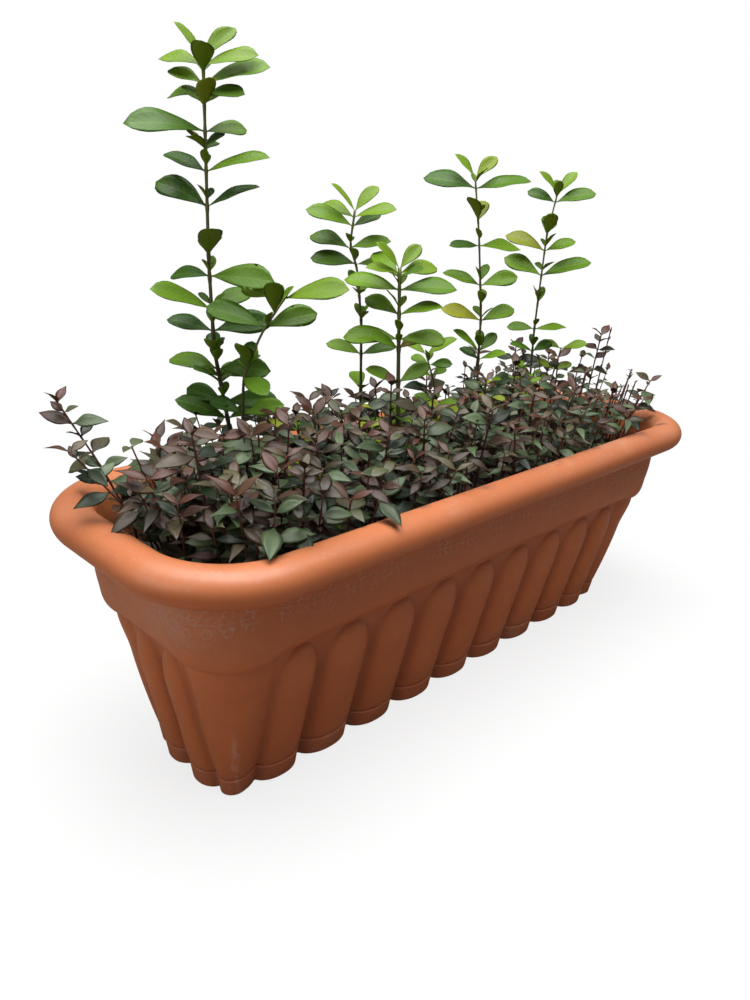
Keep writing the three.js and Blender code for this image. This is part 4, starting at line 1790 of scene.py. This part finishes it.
@dataclass
class GreenShoots:
    """The bright green shoots, one piece for each node.

    Args:
        small_leaf: the length below which a leaf has the small form.
        bud_gap: how far apart two pairs are before side buds break between them.
    """

    materials: Finishes
    shoots: dict[str, Shoot]
    step: float = 3.0
    tries: int = 20
    small_leaf: float = 41.0
    bud_gap: float = 9.0
    bud_skipped: float = 0.2
    seed: int = 23

    def form_of(self, length: float) -> LeafForm:
        """The leaf form for a length."""
        return SMALL_GREEN_LEAF if length < self.small_leaf else GREEN_LEAF

    @staticmethod
    def finishes() -> Finishes:
        """The green leaf's and the green stem's material.

        Returns:
            The two materials.
        """
        leaf = LeafFinish(
            "green_leaf", deep=(0.028, 0.085, 0.004), bright=(0.12, 0.235, 0.006),
            # The lower face's colour is lighter than the upper face's: the underside's own paler
            # green and painted glow of light through the leaf.
            warm=(0.33, 0.29, 0.02), young=(0.14, 0.235, 0.006), under=(0.17, 0.3, 0.015),
            under_share=0.75, vein=(0.18, 0.3, 0.03), vein_show=0.16, shine=0.24,
            roughness=0.4, quilt=0.0001).make()
        stem = StemFinish("green_stem", (0.05, 0.04, 0.018), (0.11, 0.095, 0.035),
                          (0.16, 0.2, 0.04)).make()
        return [leaf, stem]

    def _with_side_leaves(self, plant: Plant, draw: Draw) -> Plant:
        """Adds small steep leaves between a shoot's pairs, where side buds break.

        Args:
            plant: the shoot.
            draw: the random numbers.

        Returns:
            The shoot with its side leaves.
        """
        extra = []
        ordered = sorted(plant.pairs, key=lambda pair: pair.height)
        for below, above in zip(ordered, ordered[1:]):
            if above.height - below.height < self.bud_gap or draw.uniform() < self.bud_skipped:
                continue
            size = draw.uniform(13.0, 26.0)
            extra.append(LeafPair(below.height + draw.uniform(2.0, 7.0),
                                  below.azimuth + draw.uniform(50.0, 130.0),
                                  draw.uniform(38.0, 66.0), size, size * draw.uniform(0.5, 1.1),
                                  youth=draw.uniform(0.0, 0.5)))
        return plant.with_pairs(extra)

    def build(self) -> None:
        """Builds every shoot."""
        for i, (name, shoot) in enumerate(self.shoots.items()):
            node = f"green_shoot_{name}"
            plant = shoot.plant().as_in(node, self.form_of, self.step, self.tries)
            draw = np.random.default_rng(self.seed + i)
            foliage = Foliage(draw, 0.05, shoot.tints, droop=0.1)
            rows = self._with_side_leaves(plant, draw).leaf_rows()
            small = rows[:, 5] < self.small_leaf
            foliage.leaves(SMALL_GREEN_LEAF, rows[small])
            foliage.leaves(GREEN_LEAF, rows[~small])
            foliage.stem(plant, 8)
            foliage.finish(f"{node}_fine", self.materials, Slot.GREEN, node)


# ---- Low dark sprigs
class BedPart(Enum):
    """The bed's pieces: name, share of purple leaves, and share of sprigs with long leaves."""

    LEFT = ("left", 0.45, 0.4)
    MIDDLE = ("middle", 0.5, 0.72)
    RIGHT = ("right", 0.25, 0.72)


@dataclass
class RimSprigs:
    """Low sprigs along the walls, whose leaves hang out over the rim.

    Args:
        places: a row a sprig: foot x and y, height, lean along x and y, and its largest leaf's
            azimuth, rise and length.
    """

    draw: Draw
    materials: Finishes
    places: tuple[Row, ...] = (
        (-192, -88, 72, -4, -22, 254, -8, 34), (-304, -84, 66, -20, -22, 284, -6, 19),
        (262, -84, 68, 6, -12, 300, 10, 24), (-262, -84, 62, -4, -10, 230, -4, 24),
        (120, -86, 66, 2, -10, 285, 4, 22), (30, -86, 64, 0, -10, 250, 0, 24),
        (-352, -8, 70, -10, 4, 190, -4, 30), (200, -86, 70, 4, -8, 262, 6, 22),
        (-90, -86, 62, -2, -8, 240, 6, 26), (-120, 88, 64, -2, 14, 95, -6, 28),
        (60, 88, 66, 2, 14, 80, -6, 28), (250, 86, 64, 6, 14, 84, -4, 26),
        (-290, 74, 66, -12, 18, 120, -6, 30),
    )

    def build(self) -> None:
        """Builds the sprigs in one piece."""
        foliage = Foliage(self.draw, 0.3, droop=0.25)
        for x, y, height, lean_x, lean_y, azimuth, rise, length in self.places:
            pairs = (LeafPair(height - 1, azimuth, rise, length, length * 0.6),
                     LeafPair(height * 0.72, azimuth + 90, 25, length * 0.8, length * 0.8))
            bends = leaning(height, lean_x, lean_y, 20, 0.4)
            foliage.sprig(Plant((x, y), 1.1, bends, pairs), BROAD_DARK_LEAF)
        foliage.finish("rim_sprigs", self.materials, Slot.DARK)


@dataclass
class BareTwigs:
    """Bare dried twigs with a few shrivelled buds, at the right end.

    Args:
        places: a row a twig: foot x and y, height, and lean along x and y.
        buds: where the pairs of buds stand, as shares of the height.
    """

    draw: Draw
    materials: Finishes
    places: tuple[Row, ...] = (
        (322, -58, 104, 12, -10), (330, -46, 116, 14, -8), (306, -62, 100, 4, -8),
        (300, -50, 92, -4, -12), (336, -38, 110, 16, -12), (314, -42, 96, 8, -14),
        (326, -66, 84, 16, -6), (292, -64, 86, 2, -8), (296, -28, 172, 8, -8),
    )
    buds: Row = (0.55, 0.68, 0.8, 0.9, 0.97)

    def build(self) -> None:
        """Builds the twigs in one piece."""
        draw = self.draw
        foliage = Foliage(draw, 1.0)
        for x, y, height, lean_x, lean_y in self.places:
            bends = ((30, 0, 0), (height * 0.5, lean_x * 0.3, lean_y * 0.3),
                     (height * 0.8, lean_x * 0.9, lean_y * 0.6), (height, lean_x, lean_y))
            pairs = tuple(LeafPair(height * share, draw.uniform(0, 360), draw.uniform(30, 70),
                                   draw.uniform(4, 9), draw.uniform(2, 6)) for share in self.buds)
            foliage.sprig(Plant((x, y), 1.15, bends, pairs), LONG_DARK_LEAF, swell=0.6)
        foliage.finish("bare_twigs", self.materials, Slot.DARK)


@dataclass
class DarkBed:
    """The dense bed of low dark sprigs: those of the nodes, and the many between them.

    Args:
        end_sprigs: the noded sprigs at the ends: foot x and y, height, and lean along x and y.
        rim_clear: the height above which leaves pass over the rim.
        leaf_gap: how far inside the rim's lip the leaves below it stay.
    """

    plan: BoxPlan
    shoots: dict[str, Shoot]
    columns: int = 7
    rows: int = 3
    pitch_x: float = 80.0
    pitch_y: float = 70.0
    seed: int = 41
    step: float = 11.0
    tries: int = 24
    end_sprigs: tuple[Row, ...] = (
        (-336, 54, 142, -44, 40), (-340, 6, 118, -60, 28), (-322, -46, 140, -16, 2),
        (337, 6, 154, 10, -6), (330, -58, 104, 26, -20), (324, 62, 116, 12, 10),
    )
    fill_reach: Span = (346.0, 90.0)
    fill_pitch: float = 25.0
    left_extras: int = 14
    wall_gap: float = 44.0
    stem_gap: float = 11.0
    part_edge: float = 115.0
    rim_clear: float = 60.0
    leaf_gap: float = 38.0

    def __post_init__(self) -> None:
        """Starts the random numbers and makes the materials."""
        self.draw = np.random.default_rng(self.seed)
        self.materials = self.finishes()

    @staticmethod
    def finishes() -> Finishes:
        """The dark leaf's and the dark stem's material.

        Returns:
            The two materials.
        """
        leaf = LeafFinish(
            "dark_leaf", deep=(0.007, 0.016, 0.005), bright=(0.085, 0.125, 0.055),
            warm=(0.062, 0.026, 0.017), young=(0.085, 0.022, 0.012), under=(0.05, 0.022, 0.015),
            vein=(0.04, 0.022, 0.014), vein_pairs=7.0, vein_show=0.12, roughness=0.38,
            quilt=0.00004, shine=0.38).make()
        stem = StemFinish("dark_stem", (0.03, 0.013, 0.01), (0.095, 0.034, 0.022),
                          (0.13, 0.04, 0.03)).make()
        return [leaf, stem]

    def noded(self) -> list[Plant]:
        """Grows the sprigs that the nodes hold, by the same rule and the same numbers.

        Returns:
            The sprigs, in the order of the nodes' numbers.
        """
        draw = SeededDraw(self.seed)
        sprigs = [self._sprig(draw, place) for place in self.end_sprigs]
        for column in range(self.columns):
            for row in range(self.rows):
                x = (column - (self.columns - 1) / 2) * self.pitch_x + draw.around(0, 14)
                y = (row - (self.rows - 1) / 2) * self.pitch_y + draw.around(0, 12)
                lean_x = 0.05 * x + draw.around(0, 9)
                lean_y = 0.15 * y + draw.around(0, 9)
                place = (x, y, draw.around(116, 20), lean_x, lean_y)
                sprigs.append(self._sprig(draw, place))
        return sprigs

    @staticmethod
    def _sprig(draw: SeededDraw, place: Row) -> Plant:
        """Three pairs, each turned by 90 degrees from the last, and two steep top leaves.

        Args:
            draw: the random numbers.
            place: its foot's x and y, its height, and its lean along x and y.

        Returns:
            The sprig.
        """
        x, y, height, lean_x, lean_y = place
        turn = draw.share() * 360.0
        pairs = []
        for i in range(3):
            at = (0.5 + 0.36 * i / 2) * height
            pairs.append(LeafPair(at, turn + 90 * i + draw.around(0, 18), draw.around(4, 22),
                                  draw.around(32, 5), draw.around(31, 5)))
        pairs.append(LeafPair(height - 2, turn + 270, draw.around(42, 12), draw.around(21, 4),
                              draw.around(20, 4), youth=0.6))
        return Plant((x, y), 1.3, leaning(height, lean_x, lean_y, 26, 0.45), tuple(pairs))

    def _inside_wall(self, plant: Plant) -> Plant:
        """Cuts a plant's low leaves short where they would reach the box's wall.

        Args:
            plant: the plant.

        Returns:
            The plant with its leaves inside the wall.
        """
        pairs = []
        for pair in plant.pairs:
            lengths = [pair.length, pair.opposite]
            middle = plant.centre(np.array([pair.height]))[0, :2]
            for i, turn in enumerate((0.0, 180.0)):
                angle = math.radians(pair.azimuth + turn)
                out = np.array([math.cos(angle), math.sin(angle)])
                while pair.height < self.rim_clear and lengths[i] > 7.0:
                    if self.plan.holds(middle + out * lengths[i], self.leaf_gap):
                        break
                    lengths[i] *= 0.85
            pairs.append(replace(pair, length=lengths[0], opposite=lengths[1]))
        return replace(plant, pairs=tuple(pairs))

    def _filled_out(self, plant: Plant) -> Plant:
        """Adds the smaller leaves between a noded sprig's pairs.

        Args:
            plant: the sprig.

        Returns:
            The fuller sprig.
        """
        height, draw = plant.bends[-1][0], self.draw
        extra = []
        for share in (0.34, 0.59, 0.78, 0.93):
            after = min(plant.pairs, key=lambda p: abs(p.height - share * height))
            size = draw.uniform(17.0, 24.0) * (0.75 if share > 0.9 else 1.0)
            extra.append(LeafPair(share * height, after.azimuth + 90 + draw.normal(0, 12),
                                  draw.uniform(20, 45), size, size * draw.uniform(0.85, 1.1),
                                  youth=0.35 if share > 0.9 else 0.0))
        return plant.with_pairs(extra)

    def _filler(self, x: float, y: float) -> Plant:
        """A sprig between the noded ones, with larger leaves towards the left end.

        Args:
            x: where its foot stands along the box.
            y: where it stands across the box.

        Returns:
            The sprig.
        """
        draw = self.draw
        large = float(np.interp(x, (-340, -180, 0, 340), (1.32, 1.18, 0.98, 0.84)))
        height = draw.normal(102.0, 15.0) * (1.0 - 0.10 * abs(y) / 100.0)
        if -60 < x < 130 and y > 10:
            height *= 0.82
        height = float(np.clip(height, 66.0, 132.0))
        lean_x = 0.05 * x + draw.normal(0, 8)
        lean_y = 0.14 * y + draw.normal(0, 8)
        turn = draw.uniform(0, 360)
        pairs = []
        for i, share in enumerate((0.32, 0.46, 0.6, 0.73, 0.86)):
            if draw.uniform() < (0.35 if share < 0.5 else 0.1):
                continue
            size = draw.uniform(21.0, 31.0) * large * (1.0 - 0.2 * max(share - 0.7, 0) / 0.2)
            pairs.append(LeafPair(share * height, turn + 90 * i + draw.normal(0, 16),
                                  draw.uniform(-14, 40), size, size * draw.uniform(0.8, 1.1)))
        tip = draw.uniform(15.0, 24.0) * large
        pairs.append(LeafPair(height - 1.5, turn + draw.uniform(0, 180), draw.uniform(22, 56), tip,
                              tip * draw.uniform(0.7, 1.0), youth=draw.uniform(0.0, 0.9)))
        bends = leaning(height, lean_x, lean_y, 24, 0.4)
        return Plant((x, y), draw.uniform(0.9, 1.3), bends, tuple(pairs))

    def build(self) -> None:
        """Builds the noded sprigs, one piece each, and the rest in a few pieces."""
        feet = [shoot.foot for shoot in self.shoots.values()]
        for i, sprig in enumerate(self.noded()):
            node = f"dark_sprig_{i + 1}"
            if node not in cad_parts:
                continue
            plant = sprig.as_in(node, lambda _: DARK_LEAF, self.step, self.tries)
            feet.append(plant.foot)
            foliage = Foliage(self.draw, 0.4, droop=0.16)
            foliage.sprig(self._inside_wall(self._filled_out(plant)), BROAD_DARK_LEAF)
            foliage.finish(f"{node}_fine", self.materials, Slot.DARK, node)
        self._fill(np.array(feet))
        RimSprigs(self.draw, self.materials).build()
        BareTwigs(self.draw, self.materials).build()

    def _bare(self, x: float, y: float) -> bool:
        """Whether a spot is bare: much of the right end, most of all near, and the far left."""
        right = x > 284 and (y < -30 or self.draw.uniform() < 0.4)
        return right or (x < -300 and y > 20)

    def _fill(self, feet: Array) -> None:
        """Builds the sprigs between, on a jittered grid, wherever no other stem stands.

        Args:
            feet: where the other stems stand, as rows of x and y.
        """
        draw = self.draw
        parts = {part: Foliage(draw, part.value[1], droop=0.3) for part in BedPart}
        along, across = (np.arange(-reach, reach + 1, self.fill_pitch)
                         for reach in self.fill_reach)
        grid = [(x, y) for x in along for y in across]
        grid += [(-350.0 + draw.uniform(0, 50), draw.uniform(-90, 80))
                 for _ in range(self.left_extras)]
        for x, y in grid:
            spot = np.array([x, y]) + draw.uniform(-8.0, 8.0, 2)
            bare = self._bare(*spot)
            crowded = np.linalg.norm(feet - spot, axis=1).min() < self.stem_gap
            if bare or crowded or not self.plan.holds(spot, self.wall_gap):
                continue
            outer = BedPart.LEFT if x < 0 else BedPart.RIGHT
            part = outer if abs(x) > self.part_edge else BedPart.MIDDLE
            plant = self._inside_wall(self._filler(*spot))
            long = draw.uniform() < part.value[2]
            parts[part].sprig(plant, LONG_DARK_LEAF if long else BROAD_DARK_LEAF)
        for part, foliage in parts.items():
            foliage.finish(f"dark_bed_{part.value[0]}", self.materials, Slot.DARK)


@dataclass
class LowGreens:
    """Small green and turning sprigs low in the bed: foot x, y, height, leaf size, warm share."""

    materials: Finishes
    places: tuple[Row, ...] = (
        (-226, -46, 66, 27, 0.0), (-212, -70, 48, 22, 0.0), (-205, -22, 84, 30, 0.3),
        (-150, 34, 100, 24, 0.2), (-24, -6, 88, 26, 0.5), (-78, 6, 108, 22, 1.0),
        (-110, -8, 96, 20, 0.9), (22, 14, 92, 24, 0.6), (-52, 44, 104, 26, 0.2),
        (96, 8, 108, 22, 0.2), (136, 20, 112, 24, 0.5), (190, 2, 104, 22, 0.1),
        (214, 40, 116, 24, 0.0), (-180, 84, 96, 28, 0.1), (20, 80, 88, 24, 0.1),
    )
    seed: int = 67

    def build(self) -> None:
        """Builds the sprigs in one piece."""
        draw = np.random.default_rng(self.seed)
        draft = MeshDraft(LEAF_MARKS)
        for x, y, height, size, warm in self.places:
            turn = draw.uniform(0, 360)
            pairs = tuple(
                LeafPair(share * height, turn + 90 * i + draw.normal(0, 15), draw.uniform(0, 40),
                         size * draw.uniform(0.75, 1.1), size * draw.uniform(0.75, 1.1),
                         youth=0.5 if i > 2 else 0.0)
                for i, share in enumerate((0.42, 0.6, 0.8, 0.98)))
            lean = draw.normal(0, 6, 2)
            plant = Plant((x, y), 1.3, ((30, 0, 0), (height, *lean)), pairs)
            Foliage(draw, warm, (0.3, 1.0), 0.15, draft).sprig(plant, SMALL_GREEN_LEAF)
        stand(draft.build("low_greens", self.materials), Slot.GREEN)


# ---- Studio
@dataclass
class Studio:
    """A pale floor, soft light from overhead, and the camera at the photograph's angle.

    Args:
        yaw: the camera's direction in plan, from +Y towards +X, in radians.
        melt_span: how far from the middle the floor melts into the surround, in metres.
    """

    camera_at: tuple[float, float, float] = (-0.65111, -0.53918, 0.52560)
    yaw: float = 0.8088
    pitch: float = 0.3711
    roll: float = 0.0570
    lens: float = 28.131
    pale: float = 1.0
    lighting: float = 0.14
    floor_level: float = -0.4
    floor_half: float = 30000.0
    floor_tint: Colour = (0.29, 0.19, 0.135)
    melt_span: Span = (0.35, 0.9)

    def build(self) -> None:
        """Sets up the stage."""
        bpy.context.scene.view_settings.view_transform = "Standard"
        self._world()
        self._floor()
        self._light("overhead", (-0.2, -0.1, 2.1), (0, 0, 0.2), 2.2, 1.6, 82.0)
        self._light("left_fill", (-2.3, 0.1, 1.0), (0, 0, 0.2), 1.6, 1.2, 11.0)
        self._camera()

    @staticmethod
    def _shown(desk: NodeDesk) -> Wire:
        """1 where the camera looks at it, and 0 where it lights the object."""
        return Wire(desk, desk.put("ShaderNodeLightPath").outputs["Is Camera Ray"])

    def _strength(self, desk: NodeDesk) -> Wire:
        """A strength: pale where the camera looks at it, less where it lights the object."""
        return self._shown(desk) * (self.pale - self.lighting) + self.lighting

    def _world(self) -> None:
        """An even pale surround."""
        world = bpy.data.worlds.new("surround")
        world.use_nodes = True
        desk = NodeDesk(world.node_tree)
        background = world.node_tree.nodes["Background"]
        background.inputs["Color"].default_value = (1.0, 1.0, 1.0, 1.0)
        desk.feed(background.inputs["Strength"], self._strength(desk))
        bpy.context.scene.world = world

    def _floor(self) -> None:
        """A pale floor that melts into the surround and throws little light back up."""
        draft = MeshDraft()
        corners = np.array([quarter.value for quarter in reversed(Quarter)]) * self.floor_half
        draft.add(np.column_stack([corners, np.full(4, self.floor_level)]),
                  [np.array([[3, 2, 1, 0]])])
        material, desk, shader = new_material("pale_floor")
        shown = self._shown(desk)
        spread = desk.noise(3.0, 4.0)
        pale = desk.blend(spread, (0.8, 0.8, 0.79), (0.84, 0.84, 0.83))
        desk.feed(shader.inputs["Base Color"], desk.blend(shown, self.floor_tint, pale))
        desk.feed(shader.inputs["Roughness"], spread * 0.1 + 0.8)
        glow = desk.put("ShaderNodeEmission")
        desk.feed(glow.inputs["Strength"], self._strength(desk))
        away = desk.put("ShaderNodeVectorMath", operation="LENGTH")
        desk.feed(away.inputs[0], desk.place())
        melt = Wire(desk, away.outputs["Value"]).above(*self.melt_span) * 0.22 + shown * 0.78
        mix = desk.put("ShaderNodeMixShader")
        desk.feed(mix.inputs["Fac"], melt)
        desk.tree.links.new(shader.outputs["BSDF"], mix.inputs[1])
        desk.tree.links.new(glow.outputs["Emission"], mix.inputs[2])
        desk.tree.links.new(mix.outputs["Shader"],
                            desk.tree.nodes["Material Output"].inputs["Surface"])
        draft.build("floor", [material])

    @staticmethod
    def _light(name: str, at: tuple[float, ...], to: tuple[float, ...], wide: float, long: float,
               power: float) -> None:
        """Hangs a soft panel light.

        Args:
            name: its name.
            at: where it hangs.
            to: where it shines.
            wide: its width.
            long: its length.
            power: its power, in watts.
        """
        light = bpy.data.lights.new(name, "AREA")
        light.shape = "RECTANGLE"
        light.size, light.size_y, light.energy = wide, long, power
        panel = bpy.data.objects.new(name, light)
        panel.location = at
        panel.rotation_mode = "QUATERNION"
        panel.rotation_quaternion = (Vector(to) - Vector(at)).to_track_quat("-Z", "Y")
        bpy.context.scene.collection.objects.link(panel)

    def _camera(self) -> None:
        """The camera, at the photograph's place."""
        sy, cy, sp, cp = (f(a) for a in (self.yaw, self.pitch) for f in (math.sin, math.cos))
        ahead = Vector((sy * cp, cy * cp, -sp))
        right = Vector((cy, -sy, 0.0))
        up = right.cross(ahead)
        sr, cr = math.sin(self.roll), math.cos(self.roll)
        right, up = right * cr + up * sr, up * cr - right * sr
        data = bpy.data.cameras.new("view")
        data.lens = self.lens
        data.clip_start, data.clip_end = 0.02, 100.0
        camera = bpy.data.objects.new("view", data)
        turn = Matrix((right, up, -ahead)).transposed().to_4x4()
        camera.matrix_world = Matrix.Translation(self.camera_at) @ turn
        bpy.context.scene.collection.objects.link(camera)
        bpy.context.scene.camera = camera


def main() -> None:
    """Builds the studio and every sub-assembly, in order."""
    logging.basicConfig(level=logging.INFO, format="%(name)s %(message)s")
    plan, flutes = BoxPlan(), Flutes()
    Studio().build()
    PlanterBox(plan, flutes).build()
    DripTray(plan, flutes).build()
    PottingSoil(plan).build()
    green = GreenShoots.finishes()
    GreenShoots(green, GREEN_SHOOTS).build()
    LowGreens(green).build()
    DarkBed(plan, GREEN_SHOOTS).build()


if __name__ == "__main__":
    main()
